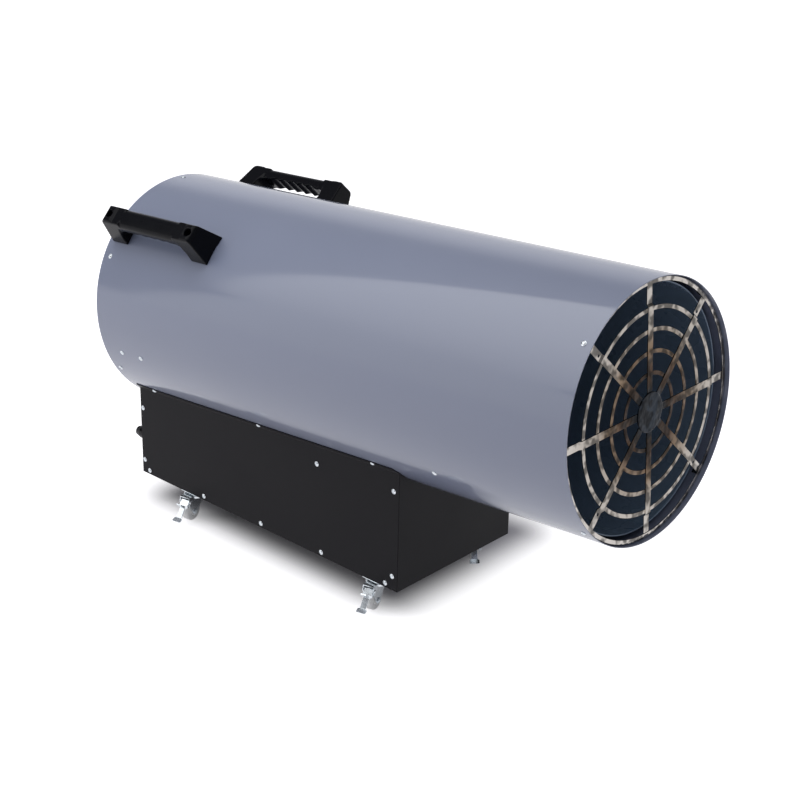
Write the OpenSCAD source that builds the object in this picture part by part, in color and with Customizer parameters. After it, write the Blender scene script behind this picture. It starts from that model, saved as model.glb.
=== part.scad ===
/* [Body tube] */
// Outside diameter of the sheet-steel body tube
tube_d = 430; // [415:1:450]
// Length of the body tube
tube_l = 1080; // [1040:5:1140]
// Wall of the body tube
tube_wall = 1.2; // [0.8:0.1:2]
// Upward tilt of the tube towards the outlet, in degrees
tube_tilt = 4.3; // [2:0.1:6]
// Height of the tube's belly over the base's underside, at mid length
belly_h = 156; // [150:1:170]

/* [Base box] */
// Length of the base box
base_l = 660; // [630:5:680]
// Width of the base box over its side panels
base_w = 298; // [280:1:320]
// Distance of the box's middle behind the tube's middle
base_back = 175; // [165:1:190]
// Thickness of the box's sheet steel
sheet = 1.2; // [1:0.1:1.6]
// Width of the folded flanges inside the box
flange = 18; // [16:1:24]

/* [Outlet grille] */
// Depth of the grille's outer ring behind the tube's edge
grille_in = 7; // [4:0.5:12]
// Step back of the grille's middle behind its outer ring
grille_step = 8; // [5:0.5:12]
// Width of a ring strip
ring_w = 7; // [5:0.5:9]
// Width of a spoke strip
spoke_w = 13; // [11:0.5:16]
// Thickness of the grille's strips
strip = 1.5; // [1:0.1:2]
// Pitch of the rings, from one middle line to the next
ring_pitch = 35; // [30:0.5:36]
// Middle radius of the innermost ring
ring_first_r = 63.5; // [58:0.5:66]
// Radius of the hub disc
hub_disc_r = 31; // [26:0.5:36]
// Distance of the grille's screws behind the tube's edge
grille_screw_in = 28; // [24:0.5:32]

/* [Heat liner and burner] */
// Air gap between the liner and the body tube
liner_gap = 11.8; // [9:0.1:14]
// Wall of the liner
liner_wall = 1; // [0.8:0.1:1.6]
// Depth of the liner's front edge behind the tube's edge
liner_in = 22; // [20:0.5:26]
// Length of the liner
liner_l = 718; // [690:1:730]
// Small radius of the burner cone
cone_r0 = 52; // [48:1:58]
// Large radius of the burner cone
cone_r1 = 122; // [112:1:130]
// Length of the burner cone
cone_l = 95; // [85:1:105]
// Radius of the flame spreader
spreader_r = 72; // [60:1:80]
// Distance of the flame spreader in front of the cone
spreader_out = 62; // [50:1:75]

/* [Fan and motor] */
// Diameter over the fan's blades
fan_d = 388; // [370:1:394]
// Diameter of the fan's hub
fan_hub_d = 84; // [76:1:92]
// Chord of a fan blade
blade_chord = 104; // [90:1:112]
// Thickness of a fan blade
blade_t = 2.4; // [2:0.1:3]
// Pitch of a fan blade, in degrees
blade_pitch = 32; // [26:1:36]
// Number of fan blades
blade_n = 5; // [4:1:6]
// Diameter of the motor
motor_d = 124; // [112:1:130]
// Length of the motor
motor_l = 138; // [125:1:145]
// Diameter of the motor's shaft
shaft_d = 12; // [10:0.5:14]

/* [Casters] */
// Height of a caster, from the floor to the base
caster_h = 57; // [55:0.5:60]
// Diameter of a caster wheel
wheel_d = 38; // [36:0.5:40]
// Width of a caster wheel over its hub
wheel_w = 18; // [16:0.5:20]
// Trail of the wheel behind the swivel axis
trail = 17; // [15:0.5:19]
// Side of the square caster plate
plate_w = 42; // [40:0.5:44]
// Distance of the rear swivel axes from the box's rear end
caster_rear_in = 126; // [100:1:150]
// Distance of the front swivel axes from the box's outlet end
caster_front_in = 64; // [50:1:90]

/* [Handles] */
// Length of a handle where it meets the tube
handle_l = 254; // [240:1:265]
// Height of a handle over the tube
handle_h = 57; // [52:1:62]
// Width of a handle where it meets the tube
handle_w = 57; // [50:1:60]
// Width of a handle's outer face
handle_face_w = 35; // [30:1:40]
// Angle of a handle round the tube from the top, in degrees
handle_deg = 45; // [40:0.5:50]

/* [Hidden] */
$fn = 72;

// Overrun of every cut past the face that it goes through
cut = 1;
// Gap between pieces that seat on each other
seat = 0.3;
// Gap between pieces that move past each other
free = 0.4;
// Radial clearance of a turning pin or shaft in its bore
turn_fit = 0.05;
// Overlap of strips and wires that are welded into one piece
weld = 0.3;

// Body tube, in its own frame: X along the tube from its middle, Z away from the base
tube_r = tube_d / 2;
tube_in_r = tube_r - tube_wall;
tube_front = tube_l / 2;
tube_rear = -tube_l / 2;
tube_z = caster_h + belly_h + tube_r;

// Base box
base_x0 = -base_back - base_l / 2;
base_x1 = base_x0 + base_l;
base_in_w = base_w - 2 * sheet;

// Sheet-metal screws with a washer face and a low dome
screw_r = 2;
screw_head_r = 4.6;
screw_head_h = 2.6;
screw_washer_h = 0.8;
screw_l = 7;
screw_hole_r = screw_r + seat;

// Places of the side screws, from the box's rear end as shares of its length
top_row_shares = [0.07, 0.487, 0.899];
bottom_row_shares = [for (i = [0 : 4]) 0.03 + i * 0.232];
mid_share = 0.709;
top_row_drop = 10;
bottom_row_rise = 8;
mid_drop = 36;
front_column_in = 12;
rear_column_in = 6.5;
column_low = 27;
front_column_high = 188;
rear_column_high = 135;

// Places of the tube's screws
guard_screw_in = 18;
guard_screw_angles = [0, 60, 120, 240, 300];
grille_screw_angles = [45, 135, 225, 315];
bracket_screws_in = [49, 102];
bracket_deg = 108;

// Rail between the tube and the side panels
rail_t = 1.5;
rail_leg = 22;
rail_shelf = 26;
rail_lean = (tube_r + rail_leg) * sin(tube_tilt);
rail_x0 = (base_x0 + sheet + 2 * seat - tube_under(base_w / 2) * sin(tube_tilt)) / cos(tube_tilt);
rail_x1 = (base_x1 - sheet - 2 * seat - rail_lean) / cos(tube_tilt);

// Grille
ring_n = 4;
spoke_n = 8;
rim_ring_r1 = tube_in_r - strip - 2 * seat;
rim_ring_r0 = rim_ring_r1 - ring_w;
tab_hole_r = 2.5;

// Liner
liner_r = tube_in_r - liner_gap;
liner_x1 = tube_front - liner_in;
liner_x0 = liner_x1 - liner_l;
liner_lip = 2.5;
spacer_w = 26;
spacer_l = 34;
spacer_t = 1.5;
spacer_foot = 9;
spacer_in = 60;
spacer_n = 4;

// Burner
cone_t = 1.2;
cone_x0 = liner_x0 - 6;
cone_x1 = cone_x0 + cone_l;
cone_lip = 6;
cone_hole_r = 6;
cone_hole_n = 12;
cone_row_shares = [0.35, 0.68];
burner_plate_t = 2;
burner_port_r = 3.2;
burner_ring_shares = [0.45, 0.78];
jet_r = 7;
jet_hex_r = 11;
jet_hex_l = 9;
jet_l = 30;
arm_w = 20;
arm_t = 2;
arm_n = 3;
arm_tab = 26;
spreader_t = 1.5;
spreader_dish = 14;
post_r = 2.5;
post_circle_r = spreader_r - 9;
rod_ceramic_r = 3.6;
rod_ceramic_l = 34;
rod_tip_r = 1.1;
rod_tip_l = 26;
rod_off = 32;

// Gas pipe from the valve up into the burner
pipe_r = 4;
pipe_bend_r = 22;
pipe_x = cone_x0 - 43;
pipe_up_x = pipe_x * cos(tube_tilt);
bend_end_x = pipe_up_x + pipe_bend_r * (1 - sin(tube_tilt));
bend_z = tube_z + bend_end_x * tan(tube_tilt) - pipe_bend_r * cos(tube_tilt);
pipe_z = caster_h + 48;
slot_l = 44;
slot_w = 30;

// Motor and fan
motor_x0 = tube_rear + 48;
motor_x1 = motor_x0 + motor_l;
motor_bell = 26;
motor_nose = 8;
motor_nose_r = 22;
motor_rib_n = 24;
motor_rib_h = 3;
motor_rib_w = 3;
motor_foot_w = 96;
motor_foot_l = 62;
motor_foot_t = 4;
bracket_t = 2.5;
bracket_l = 84;
bracket_x0 = tube_rear + 34;
bracket_tab = 26;
bracket_z = -tube_in_r * cos(180 - bracket_deg) - bracket_tab / 2;
hub_l = 44;
hub_x0 = motor_x1 + motor_nose + 14;
hub_wall = 3;
blade_camber_r = 170;
fan_root = 6;

// Rear guard
guard_in = 5;
guard_wire_r = 1.6;
guard_hoop_r = tube_in_r - guard_wire_r - seat - 1.2;
guard_ring_n = 11;
guard_first_r = 34;
guard_spokes = 6;
guard_tab_w = 14;
guard_tab_l = 24;
guard_tab_t = 1.2;

// Control panel, seen from behind the heater; places are from the box's middle line and underside
gland_y = -127;
gland_h = 68;
gland_r = 12.5;
gland_out = 34;
gland_thread_r = 9.5;
rocker_y = -78;
rocker_h = 62;
rocker_w = 21;
rocker_l = 15;
rocker_bezel = 2.5;
rocker_body_d = 24;
rocker_rock = 10;
rocker_proud = 3;
piezo_y = -34;
piezo_h = 60;
piezo_r = 8;
piezo_nut_r = 11.5;
piezo_l = 42;
button_r = 5.5;
button_out = 9;
button_travel = 6;
valve_y0 = -18;
valve_w = 118;
valve_d = 66;
valve_hgt = 58;
valve_in = 34;
valve_h = 30;
gas_button_y = 12;
gas_button_h = 62;
gas_button_r = 8.5;
gas_button_out = 13;
gas_button_travel = 8;
gas_button_sunk = 1;
stem_r = 4;
collar_r = 15;
collar_hole_r = 12;
collar_out = 3;
knob_y = 56;
knob_h = 62;
knob_r = 17;
knob_l = 18;
knob_gap = 1.5;
knob_flute_n = 16;
knob_flute_r = 1.8;
inlet_y = 88;
inlet_h = 46;
inlet_r = 8;
inlet_hex_r = 13;
inlet_hex_l = 12;
inlet_out = 30;
inlet_bore_r = 4.5;
unit_l = 78;
unit_d = 26;
unit_h = 56;
unit_over = 7;

// Casters: swivel axes and how far each trail points round from straight across
caster_y_in = 22;
caster_places = [
    [base_x1 - caster_front_in, -(base_w / 2 - caster_y_in)],
    [base_x0 + caster_rear_in, -(base_w / 2 - caster_y_in)],
    [base_x1 - caster_front_in, base_w / 2 - caster_y_in],
    [base_x0 + caster_rear_in, base_w / 2 - caster_y_in]
];
caster_turns = [14, 10, 44, 160];
plate_t = 2;
plate_corner_r = 5;
plate_screw_c = 30;
plate_race_r = 14;
plate_race_h = 2.5;
king_r = 4;
king_head_r = 6.5;
fork_t = 1.6;
fork_dome_r = 16.5;
fork_top_z = -(plate_t + plate_race_h + free);
fork_dome_h = 4;
axle_r = 2.8;
axle_z = -(caster_h - wheel_d / 2);
axle_head_r = 4.8;
axle_head_h = 2.4;
leg_in = wheel_w / 2 + free;
leg_eye_r = 7;
pivot_y = -(trail + 14.5);
pivot_z = axle_z + wheel_d / 2 + 4.5;
pivot_r = 2;
pivot_eye_r = 4.6;
pedal_t = 1.6;
tread_round = 3;
wheel_hub_r = 7;
wheel_dish = 1.2;
wheel_bead_r0 = 9.5;
wheel_bead_r1 = 15.5;

// Handles
handle_mid = tube_rear + 139;
handle_slant = 8;
handle_corner_r = 11;
handle_face_r = 7;
handle_open_l = 172;
handle_open_h = 27;
handle_open_r = 15;
handle_bar_l = 188;
handle_notch = 2.6;
finger_n = 5;
finger_l = 116;
finger_d = 4.5;
bolt_off = 105;
bolt_r = 3;
bolt_head_r = 5;
bolt_head_h = 4;
bolt_recess_r = 7.5;
bolt_recess_d = 34;
nut_r = 5.6;
nut_h = 5;

function arc(x, y, r, a0, a1, n = 8) = [
    for (i = [0 : n]) [x + r * cos(a0 + (a1 - a0) * i / n), y + r * sin(a0 + (a1 - a0) * i / n)]
];
function tube_under(y) = sqrt(tube_r * tube_r - y * y);
function panel_top(x) = tube_z + x * tan(tube_tilt) - tube_under(base_w / 2) / cos(tube_tilt);

module on_tube() {
    translate([0, 0, tube_z]) rotate([0, -tube_tilt, 0]) children();
}

// Turns the children's +Z out of the tube, round from the top towards +Y
module radial(angle) {
    rotate([-angle, 0, 0]) children();
}

module along_x(x, r, l) {
    translate([x, 0, 0]) rotate([0, 90, 0]) cylinder(r = r, h = l);
}

module ring_x(x, r1, r0, l) {
    translate([x, 0, 0]) rotate([0, 90, 0]) difference() {
        cylinder(r = r1, h = l);
        translate([0, 0, -cut]) cylinder(r = r0, h = l + 2 * cut);
    }
}

// Solid of the whole tube with a gap round it, for cutting what seats against it
module tube_space(gap) {
    on_tube() along_x(tube_rear - cut, tube_r + gap, tube_l + 2 * cut);
}

// Screw with its head's underside at z = 0 and its shank downwards
module screw(shank_r = screw_r, shank_l = screw_l, head_r = screw_head_r, head_h = screw_head_h) {
    dome = head_h - screw_washer_h;
    cylinder(r = head_r, h = screw_washer_h, $fn = 32);
    rotate_extrude($fn = 32) polygon(concat(
        [[0, 0], [head_r - screw_washer_h, 0]],
        [for (i = [0 : 6]) [(head_r - screw_washer_h) * cos(i * 15),
                            screw_washer_h + dome * sin(i * 15)]]
    ));
    translate([0, 0, -shank_l]) cylinder(r = shank_r, h = shank_l + weld, $fn = 24);
}

module tube_screw_places() {
    for (a = guard_screw_angles)
        radial(a) translate([tube_rear + guard_screw_in, 0, 0]) children();
    for (a = grille_screw_angles)
        radial(a) translate([tube_front - grille_screw_in, 0, 0]) children();
    for (a = [-bracket_deg, bracket_deg], x = bracket_screws_in)
        radial(a) translate([tube_rear + x, 0, 0]) children();
}

module tube_screw_holes() {
    tube_screw_places() translate([0, 0, tube_in_r - flange])
        cylinder(r = screw_hole_r, h = flange + tube_wall + cut, $fn = 24);
}

module outer_tube() {
    color("slategray") on_tube() difference() {
        ring_x(tube_rear, tube_r, tube_in_r, tube_l);
        tube_screw_holes();
        handle_bolt_holes();
        translate([pipe_x - slot_l / 2, -slot_w / 2, -tube_r - cut])
            cube([slot_l, slot_w, tube_wall + 2 * cut + tube_r - tube_under(slot_w / 2)]);
    }
}

// One bent spoke: flat middle, a step towards the outlet and, where asked for, a tab along the wall
module spoke(with_tab) {
    x_mid = tube_front - grille_in - grille_step;
    x_rim = tube_front - grille_in;
    bend_r = rim_ring_r0 - ring_w;
    start_r = bend_r - grille_step;
    end_r = sqrt(pow(tube_in_r - seat, 2) - pow(spoke_w / 2, 2));
    tab_l = grille_screw_in - grille_in + spoke_w / 2;
    difference() {
        rotate([90, 0, 0]) linear_extrude(height = spoke_w, center = true) polygon([
            [x_mid, 0], [x_mid, start_r], [x_rim, bend_r], [x_rim, end_r],
            if (with_tab) [x_rim - tab_l, end_r],
            if (with_tab) [x_rim - tab_l, end_r - strip],
            [x_rim - strip, end_r - (with_tab ? strip : 0)], [x_rim - strip, bend_r + strip / 2],
            [x_mid - strip, start_r + strip / 2], [x_mid - strip, 0]
        ]);
        translate([x_rim - strip - cut, 0, bend_r + tab_hole_r * 2]) rotate([0, 90, 0])
            cylinder(r = tab_hole_r, h = strip + 2 * cut, $fn = 24);
    }
}

module outlet_grille() {
    x_mid = tube_front - grille_in - grille_step - 2 * strip + weld;
    color("gainsboro") on_tube() difference() {
        union() {
            ring_x(tube_front - grille_in - 2 * strip + weld, rim_ring_r1, rim_ring_r0, strip);
            for (i = [0 : ring_n - 1]) {
                r = ring_first_r + i * ring_pitch;
                ring_x(x_mid, r + ring_w / 2, r - ring_w / 2, strip);
            }
            along_x(x_mid, hub_disc_r, strip);
            for (i = [0 : spoke_n - 1]) radial(i * 360 / spoke_n) spoke(i % 2 == 1);
        }
        tube_screw_holes();
    }
}

module heat_liner() {
    color("darkslategray") on_tube() union() {
        ring_x(liner_x0, liner_r, liner_r - liner_wall, liner_l);
        for (x = [liner_x0, liner_x1 - liner_lip]) ring_x(x, liner_r + liner_wall, liner_r - weld, liner_lip);
    }
}

// Hat-shaped spacers, welded to the liner and springing against the tube
module liner_spacers() {
    gap = tube_in_r - liner_r;
    half = spacer_w / 2;
    color("silver") on_tube()
        for (x = [liner_x0 + spacer_in, liner_x1 - spacer_in], i = [0 : spacer_n - 1])
            radial(i * 360 / spacer_n) translate([x - spacer_l / 2, 0, liner_r]) rotate([90, 0, 90])
                linear_extrude(height = spacer_l) difference() {
                    union() {
                        translate([-half - spacer_foot, 0]) square([spacer_w + 2 * spacer_foot, spacer_t + seat]);
                        translate([-half, 0]) square([spacer_w, gap]);
                    }
                    translate([-half + spacer_t, -cut]) square([spacer_w - 2 * spacer_t, gap - spacer_t - seat + cut]);
                    translate([0, -liner_r]) circle(r = liner_r + seat, $fn = 180);
                    difference() {
                        translate([-half - cut, 0]) square([spacer_w + 2 * cut, gap + cut]);
                        translate([0, -liner_r]) circle(r = tube_in_r - seat, $fn = 180);
                    }
                }
}

module burner_cone() {
    slope = atan((cone_r1 - cone_r0) / cone_l);
    color("dimgray") on_tube() difference() {
        rotate([0, 90, 0]) rotate_extrude() polygon([
            [cone_r0, cone_x0], [cone_r0 + cone_t, cone_x0], [cone_r1 + cone_t, cone_x1],
            [cone_r1 + cone_lip, cone_x1], [cone_r1 + cone_lip, cone_x1 + cone_t], [cone_r1, cone_x1 + cone_t],
            [cone_r0, cone_x0 + cone_t]
        ]);
        for (row = [0 : len(cone_row_shares) - 1], i = [0 : cone_hole_n - 1]) {
            s = cone_row_shares[row];
            radial((i + row / 2) * 360 / cone_hole_n)
                translate([cone_x0 + s * cone_l, 0, cone_r0 + s * (cone_r1 - cone_r0)])
                    rotate([0, -slope, 0]) translate([0, 0, -cone_hole_r])
                        cylinder(r = cone_hole_r, h = 2 * cone_hole_r, $fn = 24);
        }
    }
}

module burner_plate() {
    ring_r = cone_r0 - seat;
    color("silver") on_tube() difference() {
        along_x(cone_x0, ring_r, burner_plate_t);
        along_x(cone_x0 - cut, jet_r + seat, burner_plate_t + 2 * cut);
        for (row = [0 : 1], i = [0 : 11]) radial((i + row / 2) * 30)
            translate([cone_x0 - cut, 0, ring_r * burner_ring_shares[row]]) rotate([0, 90, 0])
                cylinder(r = burner_port_r, h = burner_plate_t + 2 * cut, $fn = 20);
        for (y = [-rod_off, rod_off]) translate([cone_x0 - cut, y, 0]) rotate([0, 90, 0])
            cylinder(r = rod_ceramic_r + seat, h = burner_plate_t + 2 * cut, $fn = 24);
    }
}

// Arms that carry the cone's lip from the liner's wall
module burner_arms() {
    r0 = cone_r1;
    r1 = liner_r - liner_wall - seat;
    color("silver") on_tube() intersection() {
        for (i = [0 : arm_n - 1]) radial(i * 360 / arm_n + 60) {
            translate([cone_x1 + cone_t + seat, -arm_w / 2, r0]) cube([arm_t, arm_w, r1 - r0]);
            translate([cone_x1 + cone_t + seat, -arm_w / 2, r1 - 2 * arm_t]) cube([arm_tab, arm_w, 2 * arm_t]);
        }
        along_x(cone_x1, r1, arm_tab * 2);
    }
}

module flame_spreader() {
    x_disc = cone_x1 + spreader_out;
    color("dimgray") on_tube() {
        translate([x_disc, 0, 0]) rotate([0, 90, 0]) rotate_extrude() polygon(concat(
            [for (i = [0 : 8]) let (s = i / 8) [spreader_r * s, -spreader_dish * (1 - s * s)]],
            [for (i = [8 : -1 : 0]) let (s = i / 8) [spreader_r * s, spreader_t - spreader_dish * (1 - s * s)]]
        ));
        for (i = [0 : arm_n - 1]) radial(i * 360 / arm_n) {
            translate([cone_x1 + cone_t, 0, post_circle_r]) rotate([0, 90, 0])
                cylinder(r = post_r, h = spreader_out, $fn = 20);
            translate([cone_x1 + cone_t + seat, -arm_w / 2, post_circle_r - post_r])
                cube([arm_t, arm_w, cone_r1 + cone_lip - post_circle_r + post_r]);
        }
    }
}

module gas_jet() {
    color("goldenrod") on_tube() difference() {
        union() {
            along_x(cone_x0 - jet_l / 2, jet_r, jet_l);
            translate([cone_x0 - jet_l / 2, 0, 0]) rotate([0, 90, 0]) cylinder(r = jet_hex_r, h = jet_hex_l, $fn = 6);
        }
        along_x(cone_x0 - jet_l / 2 - cut, pipe_r + seat, jet_l / 2);
        along_x(cone_x0 - cut, pipe_r / 4, jet_l);
    }
}

// Ceramic rod with a wire tip, through the burner plate
module electrode(y) {
    translate([cone_x0 - rod_ceramic_l / 2, y, 0]) rotate([0, 90, 0]) {
        cylinder(r = rod_ceramic_r, h = rod_ceramic_l, $fn = 24);
        cylinder(r = rod_tip_r, h = rod_ceramic_l + rod_tip_l, $fn = 16);
    }
}

module igniter() {
    color("white") on_tube() electrode(rod_off);
}

module flame_sensor() {
    color("lightgray") on_tube() electrode(-rod_off);
}

module fan_blade() {
    tip_r = fan_d / 2;
    root_r = fan_hub_d / 2 - hub_wall;
    intersection() {
        rotate([0, 0, blade_pitch]) translate([0, 0, root_r]) difference() {
            translate([blade_camber_r, 0, 0]) cylinder(r = blade_camber_r + blade_t / 2, h = tip_r, $fn = 180);
            translate([blade_camber_r, 0, -cut])
                cylinder(r = blade_camber_r - blade_t / 2, h = tip_r + 2 * cut, $fn = 180);
        }
        rotate([0, 0, blade_pitch]) rotate([0, 90, 0]) linear_extrude(height = blade_chord, center = true)
            polygon(concat(
                [[-root_r + weld, -blade_chord * 0.32], [-root_r + weld, blade_chord * 0.32]],
                [[-tip_r * 0.45, blade_chord * 0.46]],
                arc(-tip_r + fan_hub_d / 4, blade_chord / 2 - fan_hub_d / 4, fan_hub_d / 4, 90, 180),
                [[-tip_r, -blade_chord * 0.42], [-tip_r * 0.6, -blade_chord * 0.5]]
            ));
        translate([-blade_chord, 0, 0]) rotate([0, 90, 0]) cylinder(r = tip_r, h = 2 * blade_chord, $fn = 180);
    }
}

module fan() {
    hub_r = fan_hub_d / 2;
    color("darkgray") on_tube() difference() {
        union() {
            translate([hub_x0, 0, 0]) rotate([0, 90, 0]) rotate_extrude() polygon(concat(
                [[0, 0], [hub_r, 0]],
                arc(hub_r - fan_root, hub_l - fan_root, fan_root, 0, 90),
                [[0, hub_l]]
            ));
            for (i = [0 : blade_n - 1]) radial(i * 360 / blade_n) translate([hub_x0 + hub_l / 2, 0, 0]) fan_blade();
        }
        along_x(hub_x0 - cut, shaft_d / 2 + seat, hub_l - fan_root + cut);
        ring_x(hub_x0 - cut, hub_r - hub_wall * 2, shaft_d, hub_l / 2);
    }
}

module fan_shaft() {
    color("silver") on_tube()
        along_x(motor_x0 + motor_bell, shaft_d / 2, hub_x0 + hub_l - fan_root - motor_x0 - motor_bell);
}

module fan_motor() {
    r = motor_d / 2;
    color("dimgray") on_tube() difference() {
        union() {
            translate([motor_x0, 0, 0]) rotate([0, 90, 0]) rotate_extrude() polygon(concat(
                [[0, 0]],
                arc(r - motor_bell / 2, motor_bell / 2, motor_bell / 2, -90, 0),
                arc(r - motor_bell / 2, motor_l - motor_bell / 2, motor_bell / 2, 0, 90),
                [[motor_nose_r, motor_l], [motor_nose_r, motor_l + motor_nose], [0, motor_l + motor_nose]]
            ));
            for (i = [0 : motor_rib_n - 1]) radial((i + 0.5) * 360 / motor_rib_n)
                translate([motor_x0 + motor_bell, -motor_rib_w / 2, r - motor_rib_h])
                    cube([motor_l - 2 * motor_bell, motor_rib_w, 2 * motor_rib_h]);
            translate([motor_x0 + (motor_l - motor_foot_l) / 2, -motor_foot_w / 2, bracket_z + bracket_t + seat])
                cube([motor_foot_l, motor_foot_w, motor_foot_t]);
            for (y = [-1, 1]) translate([motor_x0 + (motor_l - motor_foot_l) / 2, y * r / 2 - motor_foot_t / 2,
                                         bracket_z + bracket_t + seat])
                cube([motor_foot_l, motor_foot_t, -bracket_z - bracket_t - r / 2]);
        }
        along_x(motor_x0 + motor_bell - free, shaft_d / 2 + turn_fit, motor_l + motor_nose);
    }
}

// Shelf across the tube under the motor, its ends turned down along the wall
module motor_bracket() {
    outer_r = tube_in_r - seat;
    inner_r = outer_r - bracket_t;
    color("silver") on_tube() difference() {
        union() {
            intersection() {
                translate([bracket_x0, -tube_r, bracket_z]) cube([bracket_l, tube_d, bracket_t]);
                along_x(bracket_x0, outer_r, bracket_l);
            }
            intersection() {
                ring_x(bracket_x0, outer_r, inner_r, bracket_l);
                translate([bracket_x0 - cut, -tube_r, bracket_z]) cube([bracket_l + 2 * cut, tube_d, bracket_tab]);
            }
        }
        tube_screw_holes();
    }
}

module rear_guard() {
    x = tube_rear + guard_in;
    pitch = (guard_hoop_r - guard_first_r) / (guard_ring_n + 1);
    color("gray") on_tube() difference() {
        union() {
            for (i = [0 : guard_ring_n + 1]) translate([x, 0, 0]) rotate([0, 90, 0]) rotate_extrude()
                translate([guard_first_r + i * pitch, 0]) circle(r = guard_wire_r, $fn = 16);
            for (i = [0 : guard_spokes - 1]) radial(i * 360 / guard_spokes)
                translate([x + 2 * guard_wire_r - weld, 0, guard_first_r - 2 * guard_wire_r])
                    cylinder(r = guard_wire_r, h = guard_hoop_r - guard_first_r + 2 * guard_wire_r, $fn = 16);
            for (a = guard_screw_angles) radial(a) {
                intersection() {
                    translate([x - guard_wire_r, -guard_tab_w / 2, guard_hoop_r])
                        cube([guard_tab_l, guard_tab_w, 2 * guard_wire_r]);
                    ring_x(x - guard_wire_r, tube_in_r - seat, tube_in_r - seat - guard_tab_t - weld, guard_tab_l);
                }
            }
        }
        tube_screw_holes();
    }
}

// Places of the side panels' screws on both sides, with the hole's way out along +Z
module side_screw_places() {
    for (side = [-1, 1]) translate([0, side * base_w / 2, 0]) {
        for (s = top_row_shares) side_place(side, base_x0 + s * base_l,
            panel_top(base_x0 + s * base_l) - top_row_drop) children();
        for (s = bottom_row_shares) side_place(side, base_x0 + s * base_l, caster_h + bottom_row_rise) children();
        for (h = [column_low, front_column_high]) side_place(side, base_x1 - front_column_in, caster_h + h) children();
        for (h = [column_low, rear_column_high]) side_place(side, base_x0 + rear_column_in, caster_h + h) children();
        if (side < 0) side_place(side, base_x0 + mid_share * base_l,
            panel_top(base_x0 + mid_share * base_l) - mid_drop) children();
    }
}

module side_place(side, x, z) {
    translate([x, 0, z]) rotate([side < 0 ? 90 : -90, 0, 0]) children();
}

module side_screw_holes() {
    side_screw_places() translate([0, 0, -flange]) cylinder(r = screw_hole_r, h = flange + cut, $fn = 24);
}

module side_panel(side) {
    difference() {
        translate([base_x0, side > 0 ? base_w / 2 - sheet : -base_w / 2, caster_h])
            cube([base_l, sheet, belly_h + tube_r]);
        tube_space(seat);
        side_screw_holes();
    }
}

module side_panel_left() {
    color("#26262a") side_panel(1);
}

module side_panel_right() {
    color("#26262a") side_panel(-1);
}

// Rail along the tube: a leg behind the side panel and a shelf rolled to the tube
module rail(side, grow) {
    y1 = base_w / 2 - sheet;
    on_tube() difference() {
        union() {
            intersection() {
                ring_x(rail_x0 - grow, tube_r + rail_t + seat + grow, tube_r + seat - grow,
                       rail_x1 - rail_x0 + 2 * grow);
                translate([tube_rear, side > 0 ? y1 - seat - rail_shelf : seat - y1, -tube_r - rail_leg])
                    cube([tube_l, rail_shelf, tube_r]);
            }
            translate([rail_x0 - grow, side > 0 ? y1 - seat - rail_t - grow : seat - y1 - grow,
                       -tube_under(y1) - rail_leg - grow])
                cube([rail_x1 - rail_x0 + 2 * grow, rail_t + 2 * grow, 2 * rail_leg]);
        }
        along_x(tube_rear - cut, tube_r + seat - grow, tube_l + 2 * cut);
    }
}

module tube_rail_left() {
    color("#26262a") difference() {
        rail(1, 0);
        side_screw_holes();
    }
}

module tube_rail_right() {
    color("#26262a") difference() {
        rail(-1, 0);
        side_screw_holes();
    }
}

module base_tray() {
    x0 = base_x0 + sheet;
    l = base_l - 2 * sheet;
    color("#26262a") difference() {
        union() {
            translate([x0, -base_in_w / 2, caster_h]) cube([l, base_in_w, sheet]);
            for (side = [-1, 1]) translate([x0 + flange + seat, side > 0 ? base_in_w / 2 - sheet : -base_in_w / 2, caster_h])
                cube([l - 2 * (flange + seat), sheet, flange]);
            for (x = [x0, x0 + l - sheet]) translate([x, -base_in_w / 2 + sheet + seat, caster_h])
                cube([sheet, base_in_w - 2 * (sheet + seat), flange]);
        }
        side_screw_holes();
        for (p = caster_places, sx = [-1, 1], sy = [-1, 1])
            translate([p[0] + sx * plate_screw_c / 2, p[1] + sy * plate_screw_c / 2, caster_h - cut])
                cylinder(r = screw_hole_r, h = sheet + 2 * cut, $fn = 24);
    }
}

// Upright panel across the box with its edges folded inwards
module cross_panel(x, inwards) {
    top = belly_h + tube_r;
    difference() {
        union() {
            translate([x, -base_in_w / 2, caster_h]) cube([sheet, base_in_w, top]);
            for (side = [-1, 1]) translate([inwards > 0 ? x : x + sheet - flange,
                                            side > 0 ? base_in_w / 2 - sheet : -base_in_w / 2, caster_h + sheet + seat])
                cube([flange, sheet, top]);
        }
        tube_space(seat);
        rail(-1, seat);
        rail(1, seat);
        side_screw_holes();
    }
}

module outlet_end_panel() {
    color("#1b1b1e") cross_panel(base_x1 - sheet, -1);
}

// Puts the children on the control panel's outer face, with +Z out of the box to the rear
module on_panel(y, h) {
    translate([base_x0, y, caster_h + h]) rotate([0, -90, 0]) children();
}

module control_panel() {
    color("#1b1b1e") difference() {
        cross_panel(base_x0, 1);
        on_panel(gland_y, gland_h) translate([0, 0, -flange]) cylinder(r = gland_thread_r + seat, h = flange + cut);
        on_panel(rocker_y, rocker_h)
            cube([rocker_w + 2 * seat, rocker_l + 2 * seat, 2 * flange], center = true);
        on_panel(piezo_y, piezo_h) translate([0, 0, -flange]) cylinder(r = piezo_r + seat, h = flange + cut);
        on_panel(gas_button_y, gas_button_h) translate([0, 0, -flange]) cylinder(r = collar_hole_r, h = flange + cut);
        on_panel(knob_y, knob_h) translate([0, 0, -flange]) cylinder(r = collar_hole_r, h = flange + cut);
        on_panel(inlet_y, inlet_h) translate([0, 0, -flange]) cylinder(r = inlet_r + seat, h = flange + cut);
    }
}

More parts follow.
